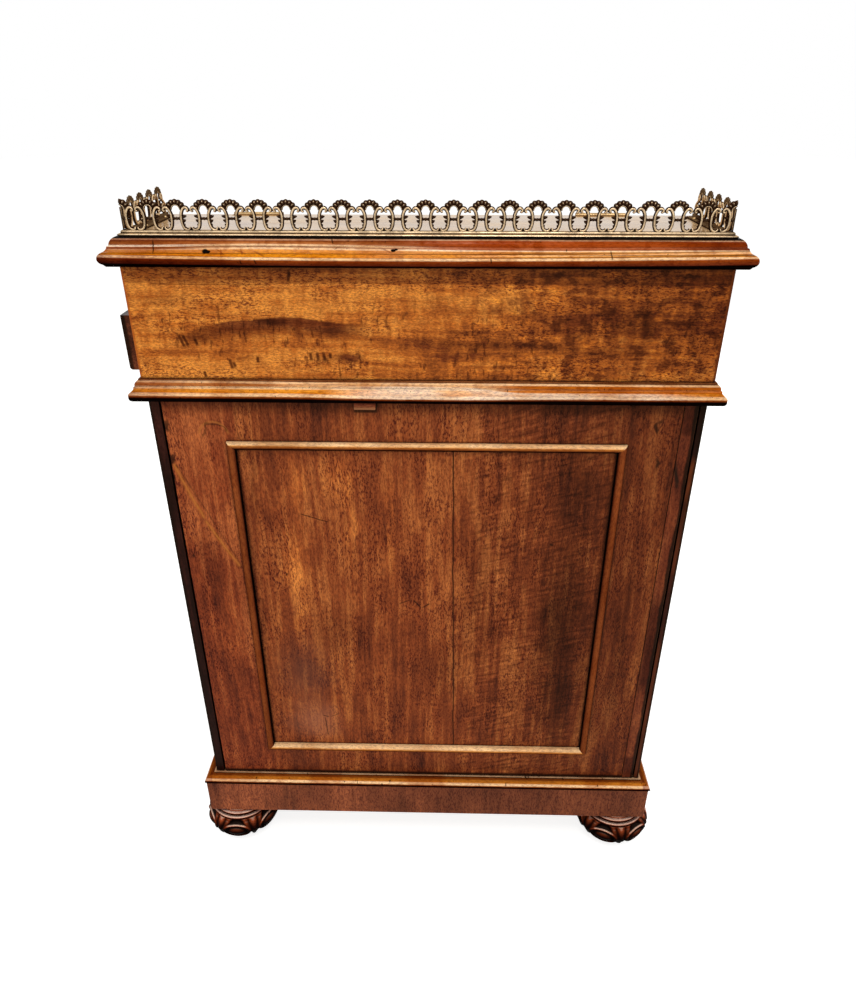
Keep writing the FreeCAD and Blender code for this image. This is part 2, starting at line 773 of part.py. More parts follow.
def build_pen_drawer():
    y0 = pen_front_y0()
    y1 = lap_y - lap_board - pen_back_gap
    z0 = z_box + pen_low + 0.4
    z1 = z_box + pen_low + pen_height - 0.4
    x1 = lap_x + pen_ajar
    front = box(x1 - pen_front, x1, y0, y1, z0, z1)
    lower_edge = [edge for edge in front.Edges
                  if edge.BoundBox.XMin > x1 - 0.01 and edge.BoundBox.ZMax < z0 + 0.01]
    save("pen_drawer_front", front.makeFillet(3.0, lower_edge))

    x0 = x1 - pen_front - 308
    wall = 6.0
    tray = box(x0, x1 - pen_front, y0 + 1.7, y1 - 1.8, z0 + 0.5, z1 - 6)
    floor = z0 + 6
    well_y0 = y0 + 1.7 + wall
    well_y1 = y1 - 1.8 - wall
    bay = 56.0
    for start in (0, 1):
        right = x1 - pen_front - wall - start * (bay + wall)
        tray = tray.cut(box(right - bay, right, well_y0, well_y1, floor, z1 + 5))
    trough_x1 = x1 - pen_front - wall - 2 * (bay + wall)
    tray = tray.cut(box(x0 + wall, trough_x1, well_y0, well_y1, floor, z1 + 5))
    save("pen_drawer_tray", tray)


# ---------------------------------------------------------------- lid
leather_x = 232.0
leather_back = -36.0
leather_front = -372.0
leather_thick = 0.8


def build_lid():
    upper = cornice_upper()
    rear = 10.0
    right = run(upper, lap_x, 0, ("mitre", -lid_length), ("square", rear))
    front = run(upper, lid_length, 0, ("mitre", -lap_x), ("mitre", lap_x), -90)
    middle = box(-lap_x + 19, lap_x - 19, -lid_length + 19, rear, -top_board, 0)
    lid = fused([middle, right, mirrored_x(right), front])
    lid = lid.cut(box(-leather_x, leather_x, leather_front, leather_back, -leather_thick, 5))
    for cutter in hinge_cutters():
        forward = mirrored_y(cutter)
        lid = lid.cut(forward).cut(mirrored_x(forward))
    lid = onto_slope(lid).cut(behind_hinge_line(0.5))
    save("lid_board", lid)
    skin = box(-leather_x, leather_x, leather_front, leather_back, -leather_thick, 0)
    save("writing_leather", onto_slope(skin))
    ledge = box(-leather_x, leather_x, -lid_length + 17, -lid_length + 26, 0, 7)
    top_edges = [edge for edge in ledge.Edges
                 if edge.BoundBox.ZMin > 6.99 and edge.BoundBox.XLength > 100]
    save("book_ledge", onto_slope(ledge.makeFillet(2.5, top_edges)))


os.makedirs("parts", exist_ok=True)
build_feet_and_plinth()
build_case()
build_drawers()
build_lap_carcass()
build_flat_top()
build_gallery()
build_interior()
build_pen_drawer()
build_lid()
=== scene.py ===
import cmath
import math
import random

import bpy
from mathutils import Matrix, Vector


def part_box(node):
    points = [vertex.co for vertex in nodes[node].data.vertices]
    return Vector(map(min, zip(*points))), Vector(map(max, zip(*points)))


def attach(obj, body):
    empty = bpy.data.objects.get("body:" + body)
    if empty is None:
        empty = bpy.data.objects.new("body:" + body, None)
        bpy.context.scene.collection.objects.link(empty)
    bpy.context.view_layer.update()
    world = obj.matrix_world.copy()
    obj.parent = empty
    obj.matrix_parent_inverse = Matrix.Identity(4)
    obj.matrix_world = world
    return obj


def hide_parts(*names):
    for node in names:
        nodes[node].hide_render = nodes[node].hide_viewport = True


# Sizes are in metres in the desk's own frame: X to the user's right, Y to the back, Z up.
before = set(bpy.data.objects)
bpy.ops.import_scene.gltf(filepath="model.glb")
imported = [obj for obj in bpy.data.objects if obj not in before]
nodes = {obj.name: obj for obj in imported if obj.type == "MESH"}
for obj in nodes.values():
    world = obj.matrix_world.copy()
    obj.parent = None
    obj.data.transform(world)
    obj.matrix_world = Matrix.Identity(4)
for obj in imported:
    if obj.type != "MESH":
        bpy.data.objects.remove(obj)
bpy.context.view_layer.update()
MM = 0.001
random.seed(11)


def face(node, side, axis):
    """One coordinate of a node's box: side 0 is low and 1 is high."""
    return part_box(node)[side][axis]


lap_x = face("lap_back", 1, 0)
lap_y = face("lap_back", 1, 1)
z_top = face("flat_top", 1, 2)
case_x = face("side_frames", 1, 0)
case_y = face("back_board", 1, 1)
plinth_x = face("plinth_rail_back", 1, 0)
plinth_y = face("plinth_rail_back", 1, 1)
hinge_y = face("flat_top", 0, 1)
lid_slope = math.radians(11.5)
z_lap = face("waist_moulding", 0, 2)
z_rail = face("plinth_moulding", 0, 2)
bead_x = face("panel_beads", 1, 0)
panel_z = (face("panel_beads", 0, 2) + face("panel_beads", 1, 2)) / 2
bead_z = face("panel_beads", 1, 2) - panel_z
pen_x = face("pen_drawer_front", 1, 0)
divider_x = face("drawer_divider_1", 1, 0)
post_y = face("side_frames", 1, 1)
block_low, block_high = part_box("slide_stop_block")
# The gallery's line, in millimetres.
GALLERY_INSET = 7.6
gallery_x = lap_x / MM - GALLERY_INSET
gallery_y = lap_y / MM - GALLERY_INSET


# ---- shader helper
def operator(name):
    return lambda self, other=0.0: self.tree.math(name, self, other)


class Value:
    """A number that varies over the surface. Comparisons give 1 where they hold and 0 elsewhere."""

    def __init__(self, tree, socket):
        self.tree = tree
        self.socket = socket

    __add__ = __radd__ = operator("ADD")
    __mul__ = __rmul__ = operator("MULTIPLY")
    __sub__ = operator("SUBTRACT")
    __truediv__ = operator("DIVIDE")
    __gt__ = operator("GREATER_THAN")
    __lt__ = operator("LESS_THAN")
    __abs__ = operator("ABSOLUTE")

    def __rsub__(self, other):
        return self.tree.math("SUBTRACT", other, self)

    def ramp(self, low, high, to_low=0.0, to_high=1.0):
        """Smooth step from to_low at low to to_high at high."""
        inputs = {"Value": self, "From Min": low, "From Max": high, "To Min": to_low, "To Max": to_high}
        return self.tree.value(self.tree.node("ShaderNodeMapRange", inputs, interpolation_type="SMOOTHSTEP"))

    def band(self, low, high, soft):
        """1 from low to high, fading out over soft on both sides."""
        return self.ramp(low - soft, low) * self.ramp(high + soft, high)


class Tree:
    """The node tree of a material or world, written as short expressions."""

    def __init__(self, owner):
        self.owner = owner
        owner.use_nodes = True
        self.nodes = owner.node_tree.nodes
        self.links = owner.node_tree.links
        self.nodes.clear()

    def node(self, kind, inputs=None, **settings):
        made = self.nodes.new(kind)
        for key, value in settings.items():
            setattr(made, key, value)
        for key, value in (inputs or {}).items():
            self.put(made.inputs[key], value)
        return made

    def put(self, socket, value):
        if isinstance(value, Value):
            value = value.socket
        if isinstance(value, bpy.types.NodeSocket):
            self.links.new(value, socket)
        else:
            socket.default_value = value

    def shader(self, kind, *inputs):
        return self.node(kind, dict(enumerate(inputs))).outputs[0]

    def value(self, node, output=0):
        return Value(self, node.outputs[output])

    def math(self, operation, a, b=0.0, clamp=False):
        return self.value(self.node("ShaderNodeMath", {0: a, 1: b}, operation=operation, use_clamp=clamp))

    def seen_by(self, *kinds):
        """1 for the named kinds of ray, from the Light Path node."""
        path = self.node("ShaderNodeLightPath")
        total = path.outputs[kinds[0]]
        for kind in kinds[1:]:
            total = self.math("MAXIMUM", total, path.outputs[kind])
        return total


class Shade(Tree):
    """A material in the desk's own frame, with a tone that is painted on where only, if given, is 1."""

    def __init__(self, name):
        super().__init__(bpy.data.materials.new(name))
        self.place = self.node("ShaderNodeTexCoord").outputs["Object"]
        self.x, self.y, self.z = self.split(self.place)
        self.tone = None
        self.only = None

    def split(self, vector):
        made = self.node("ShaderNodeSeparateXYZ", {0: vector})
        return [self.value(made, i) for i in range(3)]

    def join(self, x, y, z):
        return self.node("ShaderNodeCombineXYZ", {0: x, 1: y, 2: z}).outputs[0]

    def stretch(self, vector, x, y, z):
        return self.node("ShaderNodeVectorMath", {0: vector, 1: (x, y, z)}, operation="MULTIPLY").outputs[0]

    def add(self, vector, other):
        return self.node("ShaderNodeVectorMath", {0: vector, 1: other}, operation="ADD").outputs[0]

    def noise(self, vector, scale, detail=2.0, rough=0.5):
        inputs = {"Vector": vector, "Scale": scale, "Detail": detail, "Roughness": rough}
        return self.value(self.node("ShaderNodeTexNoise", inputs), "Fac")

    def cloud(self, scale, rough=0.5):
        return self.noise(self.place, scale, 3.0, rough)

    def mix(self, amount, a, b, mode="MIX"):
        made = self.node("ShaderNodeMix", {0: amount, 6: a, 7: b}, data_type="RGBA", blend_type=mode)
        return made.outputs[2]

    def bump(self, height, strength, distance):
        inputs = {"Height": height, "Strength": strength, "Distance": distance}
        return self.node("ShaderNodeBump", inputs).outputs[0]

    def facing(self):
        """The surface's normal, as three values."""
        return self.split(self.node("ShaderNodeNewGeometry").outputs["Normal"])

    def worn(self):
        """The mesh's own mark: 1 where hands have polished it; on a carved foot, 1 on the uncut surface and 0
        at the deepest cut.
        """
        return self.value(self.node("ShaderNodeAttribute", attribute_name="worn"), "Fac")

    def lightness(self):
        return self.value(self.node("ShaderNodeRGBToBW", {0: self.tone}))

    def crevice(self, distance, low, high):
        """1 deep in a corner or groove, 0 on open surfaces."""
        made = self.node("ShaderNodeAmbientOcclusion", {"Distance": distance}, samples=6)
        return self.value(made, "AO").ramp(low, high, 1.0, 0.0)

    def edge(self, radius, low=0.02, high=0.16):
        """1 along a sharp edge, 0 on flat surfaces."""
        rounded = self.node("ShaderNodeBevel", {"Radius": radius}, samples=4).outputs[0]
        true = self.node("ShaderNodeNewGeometry").outputs["True Normal"]
        dot = self.node("ShaderNodeVectorMath", {0: rounded, 1: true}, operation="DOT_PRODUCT")
        return (1.0 - self.value(dot, "Value")).ramp(low, high)

    def weigh(self, *parts):
        """0.5 plus each noise's swing about its middle, times its weight."""
        total = 0.5
        for noise, weight in parts:
            total = total + (noise - 0.5) * weight
        return total

    def stops(self, value, *marks):
        """Colour that passes through each (place, colour) of marks as value grows."""
        low, high = marks[0][0], marks[-1][0]
        part = self.node("ShaderNodeMapRange", {"Value": value, "From Min": low, "From Max": high}).outputs[0]
        made = self.node("ShaderNodeValToRGB", {0: part})
        elements = made.color_ramp.elements
        elements.remove(elements[1])
        elements[0].position = 0.0
        elements[0].color = colour(*marks[0][1])
        for place, tint in marks[1:]:
            elements.new((place - low) / (high - low)).color = colour(*tint)
        return made.outputs[0]

    def cover(self, mask, strength, paint):
        if self.only:
            mask = mask * self.only
        self.tone = self.mix(mask * strength, self.tone, paint)

    def lay(self, mask, strength, tint):
        """Covers the tone with a tint where the mask is 1."""
        self.cover(mask, strength, colour(*tint))

    def darken(self, mask, strength, tint):
        """Multiplies the tone by a tint where the mask is 1."""
        self.cover(mask, strength, self.mix(1.0, self.tone, colour(*tint), "MULTIPLY"))

    def finish(self, **inputs):
        """Principled surface. Every uniform number is set on the shader's own socket."""
        shader = self.node("ShaderNodeBsdfPrincipled", {k.replace("_", " "): v for k, v in inputs.items()})
        self.node("ShaderNodeOutputMaterial", {"Surface": shader.outputs[0]})
        return self.owner


def colour(red, green, blue):
    return (red, green, blue, 1.0)


# ---- wood
def straight_grain(axis):
    """Grain vector whose Z runs along the wood's fibres."""
    order = {"X": "yzx", "Y": "zxy", "Z": "xyz"}[axis]
    return lambda s: s.join(*[getattr(s, name) for name in order])


def frame_grain(half_a, half_b, upright=False):
    """Grain along each side of a mitred frame, flat or upright, turning at its diagonals."""
    def vector(s):
        across, along, deep = (s.x, s.z - panel_z, s.y) if upright else (s.x, s.y, s.z)
        beyond_a = abs(across) - half_a
        beyond_b = abs(along) - half_b
        side = beyond_a > s.math("MAXIMUM", beyond_b, -0.018)
        return s.mix(side, s.join(deep, beyond_b, across), s.join(deep + 0.31, beyond_a, along))
    return vector


def wood(name, grain, tones=None, figure=0.9, streaks=0.7, clouds=0.7, speckle=0.6, ripple=0.0,
         grime_and_shade=0.95, groove=0.004, shadow=0.5, pores=0.30, calm=0.0, wear=0.0, worn=(0.5, 0.2, 0.07),
         roughness=0.36, specular=0.14, tint=(1.0, 0.66, 0.34), profile=None, marks=None, dead_darks=False):
    """Polished hardwood in three tones, pale to dark, or in the tones that a profile paints.

    Figure, streaks, clouds and ripple vary the tone. Painted shade darkens it towards corners, and crevices
    go near-black with dirt and painted shade. With dead_darks its darkest parts have no shine.
    """
    s = Shade(name)
    base = grain(s)
    drift = s.node("ShaderNodeTexNoise", {"Vector": s.stretch(base, 1, 1, 0.35), "Scale": 6.0, "Detail": 2.0})
    shift = s.add(drift.outputs["Color"], (-0.5, -0.5, -0.5))
    place = s.add(base, s.stretch(shift, 0.024, 0.024, 0.024))

    broad = s.noise(s.stretch(place, 1, 1, 0.16), 14.0, 3.0, 0.55)
    streak = s.noise(s.stretch(place, 1, 1, 0.06), 170.0, 3.0, 0.6)
    cloud = s.noise(s.stretch(base, 1, 1, 0.6), 24.0, 4.0, 0.6)
    value = s.weigh((broad, figure), (streak, streaks), (cloud, clouds))
    if ripple:
        waves = s.noise(s.stretch(place, 0.28, 0.28, 1.0), 150.0)
        value = s.weigh((value, 1.0), (waves, ripple))
    if profile:
        profile(s)
        s.only = None
        swing = s.stops(value, (0.2, (0.62, 0.55, 0.5)), (0.5, (1.0, 1.0, 1.0)), (0.8, (1.25, 1.3, 1.3)))
        s.tone = s.mix(1.0, s.tone, swing, "MULTIPLY")
    else:
        pale, middle, dark = tones
        s.tone = s.stops(value, (0.2, dark), (0.5, middle), (0.8, pale))

    dash = s.noise(s.stretch(place, 1, 1, pores), 680.0, 2.0, 0.8)
    dark_dash = dash.ramp(0.51, 0.58)
    if calm:
        busy = s.noise(s.stretch(place, 1, 1, 0.35), 38.0, 3.0, 0.6)
        dark_dash = dark_dash * busy.ramp(0.42, 0.60, 1.0 - calm, 1.0)
    s.darken(dark_dash, speckle, (0.32, 0.19, 0.34))
    s.darken(dash.ramp(0.47, 0.38), speckle * 0.6, (1.5, 1.5, 1.3))
    if marks:
        marks(s)
        s.only = None
    if wear:
        s.lay(s.edge(0.0012) * s.cloud(60.0).ramp(0.40, 0.62), wear, worn)
    # Painted shade: a soft darkening towards corners and under overhangs.
    if shadow:
        s.darken(s.crevice(0.018, 0.35, 0.95), shadow, (0.25, 0.17, 0.17))
    # Near-black in crevices and grooves: dirt and painted shade.
    s.lay(s.crevice(groove, 0.55, 0.92), grime_and_shade, (0.005, 0.002, 0.0012))

    height = s.weigh((dash, -0.6), (streak, 0.5), (cloud, 1.5))
    gloss = cloud.ramp(0.30, 0.70, roughness - 0.06, roughness + 0.08)
    if dead_darks:
        specular = s.lightness().ramp(0.06, 0.30, 0.02, 1.0) * specular
    return s.finish(Base_Color=s.tone, Roughness=gloss, Normal=s.bump(height, 0.5, 0.0001),
                    Specular_IOR_Level=specular, Specular_Tint=colour(*tint))


# ---- marks on the wood
def blob(x, z, where, soft=1.0):
    """Rounded patch, 1 at its middle. where is its middle's X and Z and its half sizes, in millimetres."""
    u = (x - where[0] * MM) / (where[2] * MM)
    v = (z - where[1] * MM) / (where[3] * MM)
    return x.tree.math("SQRT", u * u + v * v).ramp(1.0 - soft, 1.0, 1.0, 0.0)


def scratch(x, z, ends, width, wander=0.0):
    """Thin line from the first X and Z of ends to the second, in millimetres."""
    s = x.tree
    run = Vector(ends[2:]) - Vector(ends[:2])
    length = run.length
    run.normalize()
    dx = x - ends[0] * MM
    dz = z - ends[1] * MM
    along = dx * run.x + dz * run.y
    off = dx * run.y - dz * run.x
    if wander:
        off = off + (s.noise(s.join(0.0, 0.0, along), 22.0, 3.0) - 0.5) * (wander * MM)
    line = abs(off).ramp(0.25 * width * MM, width * MM, 1.0, 0.0)
    tip = min(4.0, 0.3 * length)
    return line * (along.ramp(0.0, tip * MM) * along.ramp((length - tip) * MM, length * MM, 1.0, 0.0))


def arc_mark(x, z, centre, radius, width):
    """Upper half of a thin ring on the back board."""
    dx = x - centre[0] * MM
    dz = z - centre[1] * MM
    off = abs(x.tree.math("SQRT", dx * dx + dz * dz) - radius * MM)
    return off.ramp(0.3 * width * MM, width * MM, 1.0, 0.0) * dz.ramp(0.0, 0.004)


def wavering(s, swing):
    """X and Z moved about by up to half of swing, so that patches get uneven edges."""
    one = (s.cloud(34.0) - 0.5) * swing
    two = (s.noise(s.add(s.place, (3.0, 1.0, 2.0)), 30.0, 3.0) - 0.5) * swing
    return s.x + one, s.z + two


# ---- mouldings
# Tones across their sections, from cream fillets, which carry painted highlights, to dark undersides in
# painted shade.
CREAM_HIGHLIGHT = (0.92, 0.58, 0.30)
STRAW = (0.44, 0.20, 0.09)
GOLD = (0.70, 0.225, 0.006)
AMBER = (0.36, 0.10, 0.016)
EMBER = (0.28, 0.044, 0.003)
RED = (0.17, 0.030, 0.006)
RUSSET = (0.15, 0.024, 0.007)
BLACK = (0.003, 0.0012, 0.001)


def uneven(s):
    """Up to a quarter of a millimetre either way."""
    return (s.cloud(14.0) - 0.5) * 0.5


def polish_and_sheen(s, sheen_from, sheen_to, strength):
    """Polish of uneven strength along a moulding: redder in places, with a pale painted highlight along part
    of the back.
    """
    x = s.x
    s.darken(s.cloud(11.0, 0.6).ramp(0.48, 0.60), 0.6, (0.75, 0.55, 0.36))
    s.darken(s.cloud(70.0, 0.6).ramp(0.54, 0.66), 0.5, (0.60, 0.42, 0.30))
    s.darken(x.ramp(0.225, 0.275), 0.45, (0.45, 0.25, 0.26))
    s.darken(x.ramp(0.285, 0.306), 0.70, (0.40, 0.30, 0.35))
    s.lay(s.noise(s.place, 320.0, 1.0).ramp(0.74, 0.76), 0.7, BLACK)
    # Painted highlight: pale cream over the lighter members along part of the back.
    where = x.ramp(sheen_from + 0.05, sheen_from - 0.03)
    where = where * x.ramp(sheen_to - 0.04, sheen_to + 0.04)
    where = where * s.lightness().ramp(0.07, 0.22) * (s.y > 0.0)
    where = where * s.noise(s.stretch(s.place, 0.25, 1.0, 1.0), 90.0).ramp(0.66, 0.40, 0.45, 1.0)
    s.lay(where, strength, (0.96, 0.74, 0.54))


def below_top(s):
    """How far ahead of the hinge line, and millimetres below the flat top or the sloping lid."""
    ahead = s.math("MAXIMUM", hinge_y - s.y, 0.0)
    return ahead, (z_top - s.z - ahead * math.tan(lid_slope)) * 1000.0


def dented(s):
    """Two old dents and a few cross cracks along the back of the cornice."""
    x, z = s.x, s.z
    s.only = s.y > 0.0
    for dent in (
            (204, 809.5, 3.4, 2.2), (201, 809, 2.6, 1.5), (29.5, 810.5, 3.0, 1.4), (26.8, 811.3, 2.0, 1.0)):
        s.lay(blob(x, z, dent, 0.4), 1.0, BLACK)
    for crack in (
            (253, 820, 252, 806), (87, 821, 85, 815), (171, 803, 170, 798), (158, 804, 156, 798),
            (-60, 806, -61, 800), (-170, 812, -171, 803)):
        s.lay(scratch(x, z, crack, 1.0), 0.8, BLACK)
    for crack in (
            (196, 812, 184, 806), (190, 812, 188, 805), (180, 811, 166, 808), (172, 812, 168, 806),
            (160, 810, 146, 805), (40, 812, 30, 808)):
        s.lay(scratch(x, z, crack, 0.9, 3.0), 0.6, (0.20, 0.030, 0.004))


def cornice_profile(s):
    """Tones by depth below the top: cream painted highlights on the fillets, painted shade under the nose,
    and black, both dirt and painted shade, in the gap under the gallery. The members sag a little towards the
    middle of the back.
    """
    down = below_top(s)[1]
    x = s.x
    sag = x.ramp(0.16, -0.09, 0.5, 3.0) + x.ramp(-0.09, -0.28, 0.0, -1.3) + x.ramp(0.15, 0.27, 0.0, 1.2)
    sag = sag * (down.ramp(14.0, 9.5) * down.ramp(2.6, 7.0))
    off_middle = (x - 0.03) / 0.27
    bow = 1.3 - off_middle * off_middle * 2.2
    level = down + uneven(s) - (sag + bow * down.ramp(12.0, 15.5))
    # Cream stops are painted highlights; the dark stops at the bottom are painted shade under the nose, and
    # the black at the top is dirt and painted shade.
    s.tone = s.stops(
        level, (-2.5, BLACK), (1.4, BLACK), (1.8, STRAW), (2.5, STRAW), (2.9, RED), (4.2, AMBER),
        (5.0, (0.46, 0.15, 0.040)), (5.5, CREAM_HIGHLIGHT), (6.4, CREAM_HIGHLIGHT), (6.8, STRAW), (7.7, STRAW), (8.1, CREAM_HIGHLIGHT),
        (9.1, CREAM_HIGHLIGHT), (9.7, GOLD), (14.6, GOLD), (15.1, AMBER), (15.5, CREAM_HIGHLIGHT), (17.0, CREAM_HIGHLIGHT),
        (17.5, STRAW), (18.1, EMBER), (20.4, RED), (22.2, RUSSET), (23.3, BLACK), (26.0, BLACK))
    s.lay((s.y < gallery_y * MM) * level.ramp(1.7, 1.4), 0.9, (0.16, 0.045, 0.014))
    far = x.ramp(0.05, -0.02) * level.band(2.8, 7.2, 0.3)
    s.lay(far, 0.9, (0.36, 0.052, 0.002))
    s.darken(far * x.ramp(-0.20, -0.27), 0.7, (0.36, 0.22, 0.30))
    cove = down - bow
    dark_line = (0.30, 0.12, 0.030)
    # Towards -X, a painted reflection in the cove: a bright line between two dark ones.
    for low, high, strength, tint in (
            (11.6, 12.2, 0.75, dark_line), (12.8, 13.8, 0.80, (0.95, 0.50, 0.20)),
            (14.4, 15.0, 0.75, dark_line)):
        s.lay(x.ramp(-0.02, -0.06) * cove.band(low, high, 0.3), strength, tint)
    s.darken(x.ramp(0.10, 0.24) * level.ramp(17.2, 18.2), 0.7, (0.45, 0.30, 0.35))
    polish_and_sheen(s, 0.05, -0.05, 0.06)
    # Near the +X end, a pale painted highlight line above a dark band.
    near_end = x.ramp(0.19, 0.24)
    s.lay(near_end * level.band(6.8, 9.0, 0.3), 0.85, (0.24, 0.040, 0.003))
    s.lay(near_end * level.band(5.4, 6.5, 0.3), 0.75, (0.98, 0.74, 0.54))
    dented(s)


def top_profile(s):
    """The same on the flat top and lid, whose upper faces stay plain."""
    ahead, down = below_top(s)
    lid = ahead > 0.001
    inside = (abs(s.x) < gallery_x * MM) * (s.y < gallery_y * MM)
    plain = s.math("MAXIMUM", inside * (down < 0.6), lid)
    cornice_profile(s)
    upper_face = s.mix(lid, colour(0.52, 0.33, 0.16), colour(0.36, 0.155, 0.055))
    s.tone = s.mix(plain, s.tone, upper_face)


def waist_profile(s):
    """Tones by height above the lap's underside, in millimetres: cream painted highlights on the fillets and
    painted shade underneath.
    """
    up = (s.z - z_lap) * 1000.0
    x = s.x
    bow = abs(x).ramp(0.03, 0.15, 0.0, -1.3) * up.ramp(13.0, 10.0)
    sag = x.ramp(0.24, 0.12, 0.4, 1.0) * up.ramp(15.8, 17.5)
    level = up + uneven(s) + (bow + sag)
    # Cream stops are painted highlights; the black at the bottom is painted shade under the nose.
    s.tone = s.stops(
        level, (0.0, BLACK), (3.6, BLACK), (4.6, RED), (5.8, AMBER), (6.6, CREAM_HIGHLIGHT), (8.4, CREAM_HIGHLIGHT),
        (9.1, GOLD), (13.5, (0.78, 0.29, 0.035)), (13.9, CREAM_HIGHLIGHT), (15.8, CREAM_HIGHLIGHT),
        (16.3, (0.44, 0.13, 0.026)), (19.4, (0.50, 0.17, 0.045)), (20.0, CREAM_HIGHLIGHT), (21.0, CREAM_HIGHLIGHT),
        (21.5, (0.30, 0.10, 0.03)), (24.0, (0.22, 0.07, 0.02)))
    # A pale painted highlight over the middle of the back.
    middle = x.ramp(0.18, 0.10) * x.ramp(-0.11, -0.05)
    s.lay(middle * (level.ramp(15.6, 16.2) * level.ramp(20.2, 19.8)), 0.8, (0.74, 0.40, 0.18))
    far = x.ramp(-0.05, -0.11) * (level.ramp(11.6, 12.4) * level.ramp(19.6, 19.2))
    s.lay(far, 0.9, (0.50, 0.115, 0.004))
    # A painted highlight on the lower members along much of the back.
    low_members = (up - x.ramp(-0.03, -0.10, 17.0, 11.8)).ramp(0.8, -0.8)
    polish_and_sheen(s, 0.06, -0.25, low_members * 0.78)


def plinth_profile(s):
    """Tones by height above the plinth rails, in millimetres: painted shade under the nose and painted
    highlights on the nose and the shelf.
    """
    up = (s.z - z_rail) * 1000.0
    chips = (s.cloud(90.0) - 0.5) * 1.2 * up.ramp(8.6, 7.5)
    slope = (0.50, 0.155, 0.014)
    foot = (0.26, 0.060, 0.008)
    # Black at the bottom is painted shade under the nose, and cream is a painted highlight on it.
    s.tone = s.stops(
        up + chips, (0.0, BLACK), (3.7, BLACK), (4.6, RED), (5.5, AMBER), (6.1, CREAM_HIGHLIGHT), (8.0, CREAM_HIGHLIGHT),
        (8.7, slope), (10.4, slope), (10.8, foot), (12.0, foot))
    # The top of the shelf is pale: a painted highlight.
    s.tone = s.mix(up > 11.3, s.tone, colour(0.62, 0.36, 0.19))
    s.darken(s.cloud(12.0, 0.6).ramp(0.48, 0.60), 0.7, (0.62, 0.40, 0.30))
    s.darken(abs(s.x) > case_x + 0.004, 0.7, (0.52, 0.34, 0.45))
    nicks = s.noise(s.stretch(s.place, 1.0, 0.5, 0.5), 210.0, 2.0, 0.6)
    s.lay(nicks.ramp(0.67, 0.70), 0.8, BLACK)


def bead_painted_light(s):
    """Painted light: pale where the bead faces up, dark on the flanks of its upright sides."""
    normal = s.facing()
    height = s.z - panel_z
    top_highlight = (0.95, 0.60, 0.30)
    level = s.stops(
        normal[2] - (height < 0.0) * 0.30, (-1.0, BLACK), (-0.65, BLACK), (-0.45, (0.12, 0.028, 0.008)),
        (-0.20, (0.38, 0.12, 0.025)), (0.05, (0.56, 0.20, 0.040)), (0.20, (0.84, 0.44, 0.17)),
        (0.34, top_highlight), (1.0, top_highlight))
    upright = s.stops(
        abs(normal[0]), (0.0, (0.23, 0.056, 0.014)), (0.50, (0.19, 0.044, 0.012)),
        (0.75, (0.12, 0.026, 0.008)), (0.92, BLACK), (1.0, BLACK))
    s.tone = s.mix(abs(s.x) - bead_x > abs(height) - bead_z, level, upright)
    s.darken(s.cloud(14.0, 0.6).ramp(0.48, 0.62), 0.5, (0.76, 0.56, 0.40))


def carved_painted_light(s):
    """Painted light: pale highlights where the carving faces up, black painted shade underneath."""
    s.tone = s.stops(
        s.facing()[2], (-1.0, BLACK), (0.10, BLACK), (0.34, (0.022, 0.004, 0.002)),
        (0.50, (0.10, 0.018, 0.006)), (0.64, (0.30, 0.055, 0.016)), (0.74, (0.72, 0.40, 0.28)),
        (1.0, (0.95, 0.66, 0.52)))


